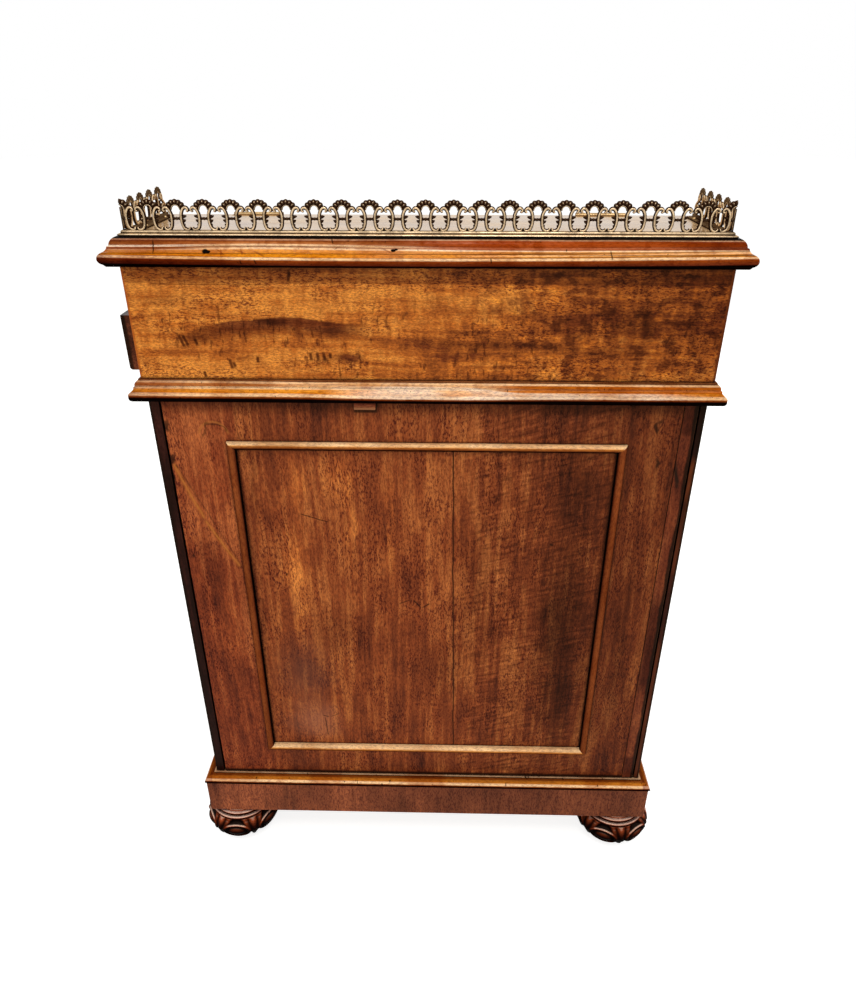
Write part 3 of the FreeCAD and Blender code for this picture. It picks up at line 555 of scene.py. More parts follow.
# ---- age and figure of each board
def back_marks(s):
    """Old age on the back: the panel's open joint, a shrinkage crack, stains and light figure; also painted
    shade, darker towards -X, under the waist moulding, along the bottom and under the stop block, and a
    painted sheen low down towards +X.
    """
    x, z = s.x, s.z
    u, v = wavering(s, 0.035)
    s.only = s.y > 0.0
    shade = (0.26, 0.22, 0.28)
    black = (0.010, 0.003, 0.002)

    # Painted shade: the board grows darker towards -X.
    s.darken(u.ramp(0.0, -0.20), 0.52, shade)
    s.darken(u.ramp(0.185, 0.215), 0.6, (0.88, 0.68, 0.88))
    # Paler patches towards +X: light figure and painted sheen.
    for *patch, strength in (
            (143, 560, 17, 50, 0.75), (150, 455, 24, 80, 0.8), (154, 380, 12, 30, 0.5),
            (98, 570, 30, 45, 0.5), (84, 520, 12, 80, 0.5), (40, 500, 10, 120, 0.4), (225, 560, 40, 60, 0.2),
            (240, 330, 26, 160, 0.3)):
        s.darken(blob(u, v, patch), strength, (1.9, 2.2, 1.7))
    # Darker patches, painted shade.
    for *patch, strength in (
            (-165, 560, 40, 60, 0.5), (-150, 380, 35, 110, 0.5), (-165, 250, 28, 90, 0.6),
            (110, 360, 50, 60, 0.35), (-60, 420, 40, 200, 0.3), (-235, 330, 16, 220, 0.4),
            (-20, 300, 40, 70, 0.35), (201, 400, 10, 270, 0.45), (250, 450, 26, 80, 0.3),
            (150, 300, 56, 40, 0.3), (190, 560, 10, 90, 0.4), (0, 130, 290, 30, 0.35),
            (-166, 360, 42, 230, 0.75)):
        s.darken(blob(u, v, patch), strength, shade)
    # A painted sheen low down towards +X, smoky above and pale below.
    s.lay(blob(u, v, (152, 290, 50, 90)), 0.40, (0.13, 0.050, 0.034))
    s.lay(blob(u, v, (146, 212, 52, 46)), 0.45, (0.36, 0.135, 0.075))
    # Painted shadow from the waist moulding across the top of the board.
    s.darken(z.ramp(0.640, 0.656), 0.80, (0.30, 0.24, 0.30))
    # Painted shade along the bottom of the board, above the plinth moulding.
    s.lay(z.ramp(0.1245, 0.1215), 0.9, black)
    # Painted shadow: a black line under the stop block.
    block_half = (block_high.x - block_low.x) / 2
    from_block = abs(x - (block_low.x + block_half))
    under = z.ramp(block_low.z - 0.0066, block_low.z - 0.0050)
    s.lay(under * from_block.ramp(block_half + 0.002, block_half), 0.85, black)

    ticks = s.noise(s.join(x * 42.0, 0.0, z * 250.0 + x * 70.0), 1.0)
    right = x.ramp(-0.02, -0.07) * x.ramp(-0.215, -0.19)
    s.darken(right * ticks.ramp(0.52, 0.66), 0.5, (1.7, 1.9, 1.9))
    s.darken(right * ticks.ramp(0.48, 0.34), 0.6, (0.35, 0.3, 0.35))

    for ends in ((274, 587, 249, 516), (249, 516, 216, 452)):
        s.lay(scratch(x, z, ends, 4.5, 5.0), 0.35, (0.42, 0.12, 0.020))
        s.lay(scratch(x, z, ends, 1.4, 5.0), 0.55, (0.50, 0.17, 0.030))
    s.lay(scratch(x, z, (271, 586, 213, 452), 1.4, 4.0), 0.35, black)
    s.lay(arc_mark(x, z, (224.5, 619), 15.5, 2.0), 0.45, (0.45, 0.15, 0.03))
    s.lay(arc_mark(u, v, (224.5, 619), 12.5, 2.0), 0.55, black)
    for *ends, width, strength in (
            (-29, 606, -36, 166, 1.1, 0.95), (142, 524, 108, 513, 0.9, 0.9), (136, 222, 126, 219, 0.9, 0.9),
            (133, 220, 130, 186, 0.8, 0.85), (126, 219, 112, 226, 0.7, 0.7), (128, 205, 118, 196, 0.6, 0.6),
            (33, 402, 16, 409, 1.1, 0.7), (16, 409, 6, 396, 1.3, 0.9), (6, 396, -6, 404, 1.2, 0.8),
            (199, 655, 199, 614, 0.8, 0.5)):
        s.lay(scratch(x, z, ends, width, 5.0), strength, black)
    for patch in (
            (272, 592, 4.5, 10), (277, 572, 4.0, 26), (158, 440, 2.2, 2.2), (-142, 489, 2.0, 3.0),
            (-244, 592, 3.2, 10), (270, 470, 2.5, 4), (-246, 632, 3.0, 12), (274, 632, 4.0, 10)):
        s.lay(blob(u, v, patch, 0.7), 0.85, black)


def lap_marks(s):
    """Figure on the back of the lap: a darker strip along the top, an arched band and dark ticks; also
    painted shade that darkens it towards -X.
    """
    x, z = s.x, s.z
    s.only = s.y > 0.0
    shade = (0.25, 0.15, 0.24)
    drift = (s.noise(s.place, 16.0, 4.0, 0.6) - 0.5) * 0.016
    level = z + drift
    s.darken((z + drift * 0.15).ramp(0.7778, 0.7788), 0.48, shade)
    # Painted shade: darker towards -X.
    s.darken(x.ramp(-0.02, -0.27), 0.40, shade)
    blocks = s.noise(s.join(x * 60.0, 0.0, z * 95.0), 1.0, 3.0, 0.6)
    rightwards = x.ramp(0.06, -0.16, 0.15, 1.0)
    s.darken(blocks.ramp(0.51, 0.60) * rightwards, 0.75, shade)
    s.darken(blocks.ramp(0.48, 0.37) * rightwards, 0.7, (1.45, 1.5, 1.1))
    from_crown = x - 0.13
    band = level + from_crown * from_crown * 1.35 - 0.7435
    reach = x.ramp(0.26, 0.19) * x.ramp(0.04, 0.09)
    s.darken(band.ramp(0.0035, 0.0015) * band.ramp(-0.020, -0.004) * reach, 0.95, shade)
    s.darken(scratch(x, z, (266, 777.6, 148, 777.2), 1.0, 1.5), 0.6, (0.16, 0.08, 0.12))
    u, v = wavering(s, 0.006)
    for *patch, soft, strength in (
            (76, 706, 19, 6.5, 0.7, 0.95), (152, 742, 26, 5.5, 0.8, 0.85), (92, 733, 20, 4.5, 0.8, 0.7),
            (225, 724, 16, 9, 0.9, 0.5)):
        s.darken(blob(u, v, patch, soft), strength, shade)
    second = level - x * 0.05 - 0.724
    reach = x.ramp(0.02, -0.03) * x.ramp(-0.26, -0.16)
    s.darken(second.ramp(0.004, 0.001) * second.ramp(-0.010, 0.0) * reach, 0.5, shade)
    s.lay(abs(x).ramp(lap_x - 0.0030, lap_x - 0.0014), 0.75, (0.40, 0.085, 0.012))
    s.lay(x.ramp(0.0034 - lap_x, 0.0018 - lap_x), 0.85, (0.075, 0.013, 0.003))
    u, v = wavering(s, 0.02)
    for *patch, strength in (
            (-215, 738, 9, 26, 0.75), (-238, 722, 8, 16, 0.7), (-190, 778, 40, 7, 0.4),
            (-150, 728, 30, 5, 0.5), (-60, 726, 40, 4, 0.5), (95, 703, 26, 6, 0.4), (180, 706, 22, 4, 0.45),
            (250, 762, 34, 9, 0.4), (-205, 735, 40, 30, 0.4), (-60, 755, 90, 8, 0.3),
            (-262, 720, 8, 50, 0.4)):
        s.darken(blob(u, v, patch), strength, shade)

    for ends in (
            (245, 730, 239, 714), (241, 730, 235, 715), (229, 726, 226, 716), (197, 706, 194, 692),
            (193, 702, 191, 694), (224, 692, 222, 683), (115, 713, 114, 701), (108, 713, 107, 701),
            (102, 713, 100, 700), (95, 712, 95, 704), (129, 793, 131, 778), (168, 708, 168, 699)):
        s.darken(scratch(x, z, ends, 2.4), 0.9, (0.12, 0.06, 0.09))
    ticks = s.noise(s.join(x * 250.0, 0.0, z * 85.0 + x * 30.0), 1.0)
    where = s.noise(s.add(s.place, (5.0, 0.0, 0.0)), 24.0).ramp(0.44, 0.56)
    where = where * level.ramp(0.7700, 0.7350, 0.35, 1.0)
    s.darken(ticks.ramp(0.56, 0.64) * where, 0.7, (0.22, 0.14, 0.2))


def carved_wax_and_shade(s):
    """Black in the cuts: old wax and painted shade."""
    s.lay(s.worn().ramp(0.90, 0.60), 0.98, BLACK)


def plinth_marks(s):
    """Painted light and shade: paler towards one end, darker at the other."""
    x = wavering(s, 0.05)[0]
    s.darken(x.ramp(0.0, 0.22), 0.6, (1.7, 1.7, 1.6))
    end = s.x.ramp(plinth_x - 0.020, plinth_x - 0.013) * (s.y > plinth_y - 0.003)
    s.darken(end, 0.75, (0.42, 0.38, 0.45))
    s.darken(x.ramp(0.05, -0.06), 0.25, (0.4, 0.4, 0.5))


def side_marks(s):
    """The board's back end is bare: brown, with dark stretches and a black outer edge."""
    end = s.y > case_y - 0.0004
    s.darken(end, 0.9, (0.62, 0.58, 0.80))
    v = wavering(s, 0.012)[1]
    for level, half, strength in ((0.345, 0.090, 0.85), (0.140, 0.022, 0.8), (0.640, 0.020, 0.7)):
        s.darken(end * abs(v - level).ramp(half, half * 0.6), strength, (0.30, 0.22, 0.30))
    for *ends, width in ((-261, 612, -272, 560, 2.6), (-263, 590, -273, 566, 2.2)):
        s.lay(end * scratch(s.x, s.z, ends, width, 3.0), 0.8, (0.012, 0.005, 0.004))
    sway = (s.noise(s.join(0.0, 0.0, s.z), 16.0, 3.0) - 0.5) * 0.010
    s.lay(end * (s.x + sway).ramp(-0.2755, -0.2775), 0.9, BLACK)


def post_marks(s):
    """The posts' back ends: brown below, black above and along the outer edges."""
    end = s.y > post_y - 0.0004
    patches = s.noise(s.stretch(s.place, 1, 1, 0.3), 40.0, 3.0, 0.6).ramp(0.38, 0.58, 0.15, 1.0)
    brown = end * (s.x < 0.0) * patches * s.z.ramp(0.605, 0.585) * s.z.ramp(0.535, 0.555, 0.5, 1.0)
    s.lay(brown, 0.9, (0.155, 0.034, 0.010))
    s.lay(end * abs(s.x).ramp(case_x - 0.0034, case_x - 0.0014), 0.85, BLACK)


def block_marks(s):
    """Worn pale along its lower edge."""
    up = s.z - block_low.z
    s.darken(up.ramp(0.004, 0.006), 0.6, (0.7, 0.3, 0.3))
    s.lay(up.ramp(0.0030, 0.0018), 0.8, (0.36, 0.145, 0.060))


def pen_marks(s):
    """Black along its outer edge."""
    s.lay(s.x.ramp(pen_x - 0.006, pen_x - 0.003), 0.9, BLACK)


def lipping_marks(s):
    """A dark lipping hides the pine where its outer edge shows between the drawers."""
    s.lay(abs(s.x) > divider_x - 0.004, 1.0, (0.040, 0.009, 0.006))


# ---- brass and leather
def brass(name, bright, tarnish, roughness, hand_worn):
    """Old lacquered brass, polished where the mesh says that hands have worn it, or else in clouds."""
    s = Shade(name)
    cloud = s.noise(s.place, 90.0, 4.0, 0.6)
    grain = s.noise(s.place, 700.0, 2.0, 0.6)
    if hand_worn:
        worn = s.worn()
        polish = s.math("MAXIMUM", worn * 0.35, worn.ramp(0.45, 0.90))
        polish = s.math("MULTIPLY", polish, cloud.ramp(0.30, 0.62, 0.55, 1.1), clamp=True)
    else:
        polish = cloud.ramp(0.32, 0.62, 0.35, 1.0)
    polish = polish * s.crevice(0.002, 0.50, 0.95).ramp(0.0, 1.0, 1.0, 0.2)
    tone = s.mix(polish, colour(*tarnish), colour(*bright))
    tone = s.mix(grain.ramp(0.52, 0.70, 0.0, 0.45), tone, colour(*tarnish))
    gloss = polish.ramp(0.0, 1.0, roughness + 0.25, roughness)
    return s.finish(Base_Color=tone, Metallic=0.92, Roughness=gloss,
                    Normal=s.bump(grain + cloud, 0.35, 0.00015), Specular_Tint=colour(0.55, 0.38, 0.22))


def leather(name):
    """Green hide with a gilt tooled border."""
    s = Shade(name)
    low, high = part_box("writing_leather")
    middle_y = (low.y + high.y) / 2
    inset = s.math("MINIMUM", high.x - abs(s.x), (high.y - low.y) / 2 - abs(s.y - middle_y))
    gilt = 0.0
    wave = s.math("SINE", (s.x + s.y) * (2 * math.pi / 0.012)) * 0.0022
    curl = inset - 0.0150 - wave
    for line, inner, outer in (
            (inset - 0.010, 0.0003, 0.0006), (inset - 0.020, 0.0003, 0.0006),
            (inset - 0.0225, 0.0002, 0.0004), (curl, 0.0004, 0.0008)):
        gilt = s.math("MAXIMUM", gilt, abs(line).ramp(inner, outer, 1.0, 0.0))
    gilt = gilt * s.cloud(240.0).ramp(0.34, 0.52)
    hide = s.cloud(620.0, 0.6)
    stain = s.cloud(8.0)
    tone = s.mix(stain.ramp(0.35, 0.65), colour(0.014, 0.045, 0.022), colour(0.035, 0.085, 0.040))
    tone = s.mix(hide.ramp(0.52, 0.70, 0.0, 0.5), tone, colour(0.008, 0.022, 0.012))
    tone = s.mix(gilt, tone, colour(0.62, 0.42, 0.13))
    return s.finish(Base_Color=tone, Roughness=stain.ramp(0.3, 0.7, 0.42, 0.6),
                    Normal=s.bump(hide * -1.0 - gilt, 0.5, 0.0003))


# ---- dressing the CAD nodes
def dress(names, material, edge=0.5):
    """Gives nodes their finish and, with modifiers only, slightly rounded edges."""
    for name in names.split():
        piece = nodes[name]
        for i in range(len(piece.material_slots)):
            piece.material_slots[i].material = material
        piece.modifiers.new("weld", "WELD").merge_threshold = 2e-6
        if edge:
            bevel = piece.modifiers.new("bevel", "BEVEL")
            bevel.width = edge * MM
            bevel.segments = 2
            bevel.limit_method = "ANGLE"
            bevel.angle_limit = math.radians(32.0)
            bevel.harden_normals = True


upwards, round_x, round_y = straight_grain("Z"), straight_grain("X"), straight_grain("Y")
deep = ((0.37, 0.105, 0.040), (0.190, 0.050, 0.021), (0.060, 0.016, 0.009))
shiny = dict(roughness=0.22, specular=0.04, dead_darks=True, speckle=0.40, shadow=0.0, grime_and_shade=0.85,
             groove=0.0025)


def dress_case():
    red = ((0.47, 0.142, 0.036), (0.240, 0.051, 0.0145), (0.080, 0.016, 0.008))
    black = ((0.055, 0.012, 0.009), (0.014, 0.003, 0.003), (0.004, 0.001, 0.001))
    knob = ((0.20, 0.045, 0.016), (0.10, 0.020, 0.008), (0.03, 0.007, 0.004))
    dress("back_board front_board", wood(
        "case_back_veneer", upwards, red, marks=back_marks, streaks=0.9, speckle=1.0, calm=0.5, shadow=0.75))
    dress("left_side_board", wood("case_side_veneer", upwards, red, marks=side_marks, wear=0.3))
    dress("side_frames", wood(
        "post_dark_mahogany", upwards, black, marks=post_marks, wear=0.3, worn=(0.2, 0.05, 0.03)))
    dress("dummy_drawer_fronts drawer_1_front drawer_2_front drawer_3_front drawer_4_front",
          wood("drawer_veneer", round_y, red, ripple=0.5, wear=0.3))
    dress("dummy_knobs drawer_1_knobs drawer_2_knobs drawer_3_knobs drawer_4_knobs",
          wood("turned_mahogany", round_x, knob, **(shiny | dict(specular=0.35))), 0.0)
    dress("panel_beads", wood(
        "bead_mahogany", frame_grain(bead_x, bead_z, True), profile=bead_painted_light,
        **(shiny | dict(grime_and_shade=0.10, groove=0.0012))))
    dress("slide_stop_block", wood("block_mahogany", round_x, deep, marks=block_marks))
    dress("plinth_rail_back plinth_rail_front plinth_rail_left plinth_rail_right", wood(
        "plinth_crossband", upwards, deep, figure=0.5, streaks=0.5, clouds=0.5, speckle=0.7, wear=0.3,
        shadow=0.7, marks=plinth_marks))
    dress("plinth_moulding", wood(
        "plinth_moulding_mahogany", frame_grain(plinth_x, plinth_y), profile=plinth_profile,
        **(shiny | dict(grime_and_shade=0.97))), 0.3)


def dress_lap():
    gold = ((0.70, 0.25, 0.040), (0.44, 0.115, 0.016), (0.16, 0.032, 0.007))
    along = frame_grain(lap_x, lap_y)
    dress("lap_back lap_front_rail", wood(
        "lap_back_veneer", round_x, gold, marks=lap_marks, ripple=0.6, streaks=0.85, clouds=0.9, figure=1.1,
        speckle=1.0, pores=0.42, calm=0.55))
    dress("lap_left_side lap_right_side", wood("lap_side_veneer", round_y, gold, ripple=0.7, speckle=0.8))
    dress("pen_drawer_front", wood("pen_drawer_mahogany", round_y, deep, marks=pen_marks))
    dress("flat_top lid_board", wood(
        "top_mahogany", frame_grain(lap_x - 0.019, lap_y - 0.019), profile=top_profile,
        tint=(1.0, 0.93, 0.78), **(shiny | dict(specular=0.6, roughness=0.2, speckle=0.3))), 0.25)
    dress("cornice_moulding", wood("cornice_mahogany", along, profile=cornice_profile, **shiny), 0.25)
    dress("waist_moulding", wood("waist_mahogany", along, profile=waist_profile, **shiny), 0.25)
    dress("book_ledge", wood("ledge_mahogany", round_x, (GOLD, AMBER, RUSSET), **shiny))
    dress("writing_leather", leather("green_leather"), 0.0)
    dress("top_hinge_leaves lid_hinge_leaves lid_lock gallery_screws",
          brass("hinge_brass", (0.66, 0.45, 0.22), (0.22, 0.12, 0.05), 0.28, False), 0.0)


def dress_inside():
    dull = dict(roughness=0.55, specular=0.15, speckle=0.3)
    pine = ((0.68, 0.41, 0.18), (0.57, 0.32, 0.13), (0.38, 0.19, 0.07))
    maple = ((0.60, 0.37, 0.16), (0.50, 0.28, 0.11), (0.34, 0.17, 0.06))
    carcass = wood("carcass_pine", round_x, pine, **dull)
    dress("corner_blocks base_board lap_bottom lap_runners", carcass)
    dress("drawer_1_box drawer_2_box drawer_3_box drawer_4_box", carcass)
    dress("case_top drawer_divider_1 drawer_divider_2 drawer_divider_3",
          wood("lipped_pine", round_x, pine, marks=lipping_marks, **dull))
    dress("interior_fascia interior_partitions small_drawer_left small_drawer_right pen_drawer_tray",
          wood("interior_maple", round_x, maple, ripple=0.4, **dull))


# ---- mesh helpers
def turn_in(count):
    """Angles that divide a full turn."""
    return [2 * math.pi * k / count for k in range(count)]


def add_object(name, data):
    made = bpy.data.objects.new(name, data)
    bpy.context.scene.collection.objects.link(made)
    return made


def piece_from(name, vertices, faces, worn, material, body):
    mesh = bpy.data.meshes.new(name)
    mesh.from_pydata([tuple(v) for v in vertices], [], faces)
    mesh.validate()
    mesh.attributes.new("worn", "FLOAT", "POINT").data.foreach_set("value", worn)
    for polygon in mesh.polygons:
        polygon.use_smooth = True
    mesh.materials.append(material)
    made = add_object(name, mesh)
    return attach(made, body)


def curve_through(points, steps):
    """Smooth line through given points."""
    ends = [2 * points[0] - points[1]] + points + [2 * points[-1] - points[-2]]
    line = []
    for i in range(1, len(ends) - 2):
        a, b, c, d = ends[i - 1:i + 3]
        for k in range(steps):
            t = k / steps
            line.append(0.5 * ((2 * b) + (c - a) * t + (2 * a - 5 * b + 4 * c - d) * t * t
                               + (3 * b - a - 3 * c + d) * t ** 3))
    return line + [points[-1]]


class Casting:
    """Gathers closed forms in a strip's own frame: u along it, d out, w up. Sizes are in millimetres."""

    def __init__(self):
        self.vertices = []
        self.faces = []
        self.worn = []

    def point(self, u, d, w, worn):
        self.vertices.append((u, d, w))
        self.worn.append(worn)
        return len(self.vertices) - 1

    def skin(self, rows):
        """Faces between rows of vertex numbers; each row is a loop."""
        for a, b in zip(rows, rows[1:]):
            for k in range(len(a)):
                n = (k + 1) % len(a)
                self.faces.append((a[k], a[n], b[n], b[k]))

    def solid(self, rows):
        self.skin(rows)
        self.faces.append(tuple(reversed(rows[0])))
        self.faces.append(tuple(rows[-1]))

    def tube(self, points, widths, thick, ridge, flank=0.0, steps=3):
        """Scroll with a broad rubbed ridge and dark flanks. points are (u, w), widths are half widths."""
        section = (
                (-1.0, -0.2, flank), (-0.56, 0.74, flank), (-0.38, 0.95, ridge), (0.38, 0.95, ridge),
                (0.56, 0.74, flank), (1.0, -0.2, flank), (0.6, -0.85, ridge), (-0.6, -0.85, ridge))
        line = curve_through([Vector(p) for p in points], steps)
        size = curve_through([Vector((w, 0)) for w in widths], steps)
        rows = []
        for i, here in enumerate(line):
            ahead = line[min(i + 1, len(line) - 1)] - line[max(i - 1, 0)]
            ahead.normalize()
            half = max(size[i].x, 0.05)
            depth = thick * min(1.0, half / 0.8)
            rows.append([self.point(here.x + ahead.y * n * half, d * depth, here.y - ahead.x * n * half, p)
                         for n, d, p in section])
        self.solid(rows)

    def ball(self, u, w, radius, worn=0.9, depth=None, out=0.0):
        depth = depth or radius
        rows = []
        for i in range(1, 6):
            lift = math.pi * i / 6
            ring = radius * math.sin(lift)
            d = out - depth * math.cos(lift)
            rows.append([self.point(u + ring * math.cos(a), d, w + ring * math.sin(a), worn)
                         for a in turn_in(10)])
        self.solid(rows)


# ---- brass gallery
GALLERY_UNITS = 22
RETURN_UNITS = 4
RAIL_HEIGHT = 4.6
BAR_LEVEL = 14.7
SHELL_LEVEL = 22.4
SHELL_OUTER = (9.9, 9.2)
SHELL_INNER = (4.0, 4.3)
LOBES = 7
RING_REACH = 9.3
pitch = 2 * gallery_x / GALLERY_UNITS


def moved(points, u, w=0.0, side=1):
    return [(u + side * x, w + z) for x, z in points]


def scroll_ring(c, u):
    """Two facing C-scrolls that meet in a cusp above and under two small drops, with dark leaves inside."""
    for side in (-1, 1):
        middle = u + side * random.uniform(-0.12, 0.12)
        scroll = (
                (1.3, 7.2), (1.7, 5.6), (3.8, 4.9), (6.5, 6.3), (8.0, 9.9), (8.4, 14.4), (8.1, 18.7),
                (6.7, 22.2), (4.8, 24.3), (2.7, 24.3), (1.4, 22.8), (2.0, 21.3), (3.1, 21.6))
        widths = [0.8, 1.3, 1.65, 1.7, 1.7, 1.7, 1.7, 1.7, 1.7, 1.6, 1.4, 1.2, 0.9]
        c.tube(moved(scroll, middle, 0.0, side), widths, 1.8, 1.0, steps=5)
        for level, reach, half in ((16.9, 3.3, 1.9), (13.2, 4.3, 1.9), (9.6, 5.4, 1.4)):
            leaf = ((8.2, -0.9), (6.4, -0.5), (reach + 0.9, 0.0), (reach, 0.5))
            c.tube(moved(leaf, middle, level, side), [half, half * 0.85, half * 0.5, 0.15], 0.8, 0.06)
    c.ball(u, 21.9, 0.95, 0.35)
    c.tube([(u, 4.4), (u, 5.8), (u, 7.0)], [0.9, 0.7, 0.15], 0.8, 0.1)


def on_shell(u, angle, reach, rise):
    return u + reach * math.cos(angle), SHELL_LEVEL + rise * math.sin(angle)


def shell_arch(c, u, start, stop):
    """Fluted shell that rests on the shoulders of two rings, from angle start to stop in degrees."""
    steps = int((stop - start) / 3.2)
    rows = []
    for i in range(steps + 1):
        angle = math.radians(start + (stop - start) * i / steps)
        lobe = abs(math.sin(angle * LOBES))
        front = []
        back = []
        for k in range(6):
            t = k / 5
            scallop = 0.8 * (lobe - 0.75) * t
            radii = [inner + (outer - inner) * t + scallop for inner, outer in zip(SHELL_INNER, SHELL_OUTER)]
            lift = 0.25 + 0.7 * math.sin(math.pi * min(t * 1.15, 1.0)) + 0.3 * (lobe - 0.5) * t
            along, up = on_shell(u, angle, *radii)
            front.append(c.point(along, lift, up, 0.30 if lobe > 0.88 and 0.3 < t < 0.9 else 0.0))
            back.append(c.point(along, -0.8, up, 0.55 if lobe > 0.7 else 0.1))
        rows.append(front + back[::-1])
    c.solid(rows)
    angles = [math.radians(start + (stop - start) * i / 14) for i in range(15)]
    rim = [on_shell(u, angle, SHELL_INNER[0] - 0.1, SHELL_INNER[1] - 0.1) for angle in angles]
    c.tube(rim, [0.62] * len(rim), 1.25, 0.75, 0.1, 2)
    for i in range(LOBES):
        angle = 180 * (i + 0.5) / LOBES
        if start < angle < stop:
            c.ball(*on_shell(u, math.radians(angle), 7.3, 7.4), 0.5, 0.95, 0.4, 0.8)


def bar_between(c, u, left, right):
    """Short knotted bar between two rings."""
    line = [(u + along, BAR_LEVEL) for along in (-left, -left * 0.55, right * 0.55, right)]
    c.tube(line, [2.3, 1.2, 1.2, 2.3], 0.8, 0.04)
    c.ball(u + (right - left) / 2, BAR_LEVEL, 1.5, 0.10, 1.1)


def foot_rail(c, low, high, far_mitre):
    """Broad bead and a flatter one above it, on a thin flange that takes the screws."""
    section = (
            (-7.0, 0.0, 0.1), (4.0, 0.0, 0.4), (5.0, 0.2, 0.9), (5.4, 0.7, 1.0), (5.2, 1.3, 1.0),
            (4.4, 1.75, 0.9), (3.2, 1.95, 0.6), (2.5, 2.0, 0.25), (2.4, 2.3, 0.5), (2.7, 2.7, 0.8),
            (2.6, 3.6, 0.75), (2.2, 4.2, 0.7), (1.4, 4.6, 0.6), (-1.3, 4.6, 0.4), (-1.3, 1.6, 0.2),
            (-4.0, 1.6, 0.5), (-7.0, 1.6, 0.4))
    count = max(2, int((high - low) / 7))
    rows = []
    for i in range(count + 1):
        u = low + (high - low) * i / count
        sway = 0.0 if i in (0, count) else random.uniform(-0.06, 0.06)
        mitre = -1 if i == 0 else int(far_mitre and i == count)
        rows.append([c.point(u + mitre * d, d + (sway if d > 0 else 0.0), w, bright)
                     for d, w, bright in section])
    c.solid(rows)


def end_scroll(c, last):
    """S-scroll that brings each return down to its rail."""
    scroll = (
            (7.6, 15.0), (5.0, 14.6), (4.0, 17.2), (6.4, 19.4), (9.2, 17.4), (9.4, 13.4), (12.8, 11.0),
            (16.0, 7.6), (15.2, 2.6), (10.6, 0.8), (6.2, 3.4), (6.4, 8.0), (10.0, 9.4), (11.6, 6.6))
    widths = [0.7, 0.9, 1.0, 1.1, 1.15, 1.2, 1.2, 1.2, 1.2, 1.1, 1.0, 0.95, 0.85, 0.7]
    c.tube(moved(scroll, last, RAIL_HEIGHT), widths, 1.5, 1.0, 0.25, 5)
    c.ball(last + 7.4, RAIL_HEIGHT + 16.0, 1.2)
    c.ball(last + 10.8, RAIL_HEIGHT + 6.0, 1.5)
    for w, reach in ((12.0, 3.2), (9.0, 3.0), (5.0, 2.6)):
        leaf = ((1.0, w), (3.4, w + 0.8), (5.2 + reach * 0.3, w))
        c.tube(moved(leaf, last, RAIL_HEIGHT), [1.5, 1.0, 0.25], 0.9, 0.1)


def gallery_strip(stations, last_half):
    """Shells over the stations and rings between them. The first shell is a half one at a corner."""
    c = Casting()
    reach = pitch / 2 - RING_REACH
    for i, u in enumerate(stations):
        first = i == 0
        last = last_half and i == len(stations) - 1
        shell_arch(c, u, 90 if last else 0, 90 if first else 180)
        bar_between(c, u, 0.0 if first else reach, 0.0 if last else reach)
    for a, b in zip(stations, stations[1:]):
        scroll_ring(c, (a + b) / 2)
    return c


def place_strip(c, name, to_desk, flip, node, material):
    """Puts a strip on the flat top. to_desk turns its u, d and w into X, Y and height, in millimetres."""
    vertices = [Vector(to_desk(*v)) * MM + Vector((0.0, 0.0, z_top)) for v in c.vertices]
    faces = [f[::-1] for f in c.faces] if flip else c.faces
    made = piece_from(name, vertices, faces, c.worn, material, "lap")
    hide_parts(node)


def build_gallery(material):
    stations = [i * pitch - gallery_x for i in range(GALLERY_UNITS + 1)]
    back = gallery_strip(stations, True)
    foot_rail(back, -gallery_x, gallery_x, True)
    place_strip(back, "gallery_back_casting", lambda u, d, w: (u, gallery_y + d, w), True, "gallery_back",
                material)
    for side, name in ((1, "gallery_right"), (-1, "gallery_left")):
        stations = [i * pitch for i in range(RETURN_UNITS + 1)]
        strip = gallery_strip(stations, False)
        # A thin bead hides the mitre at the corner.
        strip.tube([(0.0, RAIL_HEIGHT - 0.5), (0.0, 15.0), (0.0, 24.5)], [0.75, 0.7, 0.7], 0.9, 0.8, 0.1, 2)
        foot_rail(strip, 0.0, (RETURN_UNITS + 0.8) * pitch, False)
        end_scroll(strip, stations[-1])
        place_strip(strip, name + "_casting",
                    lambda u, d, w, side=side: (side * (gallery_x + d), gallery_y - u, w),
                    side > 0, name, material)


# ---- carved feet
FOOT_HEIGHT = 56.0
FOOT_RADIUS = 51.5
DOWEL_TOP = 84.0
CABOCHONS = 6
CABOCHON_LEVEL = 26.0
BUN_TOP = 43.3
DEEPEST = 5.2
FOOT_STEPS = 312
foot_turns = {"foot_back_right": 90.0, "foot_back_left": 66.5,
              "foot_front_right": 270.0, "foot_front_left": 290.0}


def arc(start, through, end, count):
    """Points of the arc from start to end, without its start."""
    a, b, c = complex(*start), complex(*through), complex(*end)
    w = (c - a) / (b - a)
    centre = a + (b - a) * (w - abs(w) ** 2) / (2j * w.imag)
    first, middle, last = [cmath.phase(p - centre) for p in (a, b, c)]
    sweep = (last - first) % (2 * math.pi)
    if (middle - first) % (2 * math.pi) > sweep:
        sweep -= 2 * math.pi
    points = [centre + cmath.rect(abs(a - centre), first + sweep * k / count) for k in range(1, count + 1)]
    return [(p.real, p.imag) for p in points]


def foot_profile():
    """Half section of the foot: bun, two neck rings and the dowel."""
    girth = (FOOT_RADIUS, FOOT_HEIGHT * 0.48)
    neck = (41.5, BUN_TOP)
    line = [(30.0, 0.0)] + arc((30.0, 0.0), (43.5, 10.5), girth, 26) + arc(girth, (47.8, 37.0), neck, 22)
    line += arc(neck, (43.6, 46.0), (40.0, 48.0), 8) + [(38.6, 48.6)]
    line += arc((38.6, 48.6), (40.0, 51.2), (37.0, 53.0), 8)
    return line + [(36.0, 53.4), (36.0, FOOT_HEIGHT), (11.9, FOOT_HEIGHT), (11.9, DOWEL_TOP)]


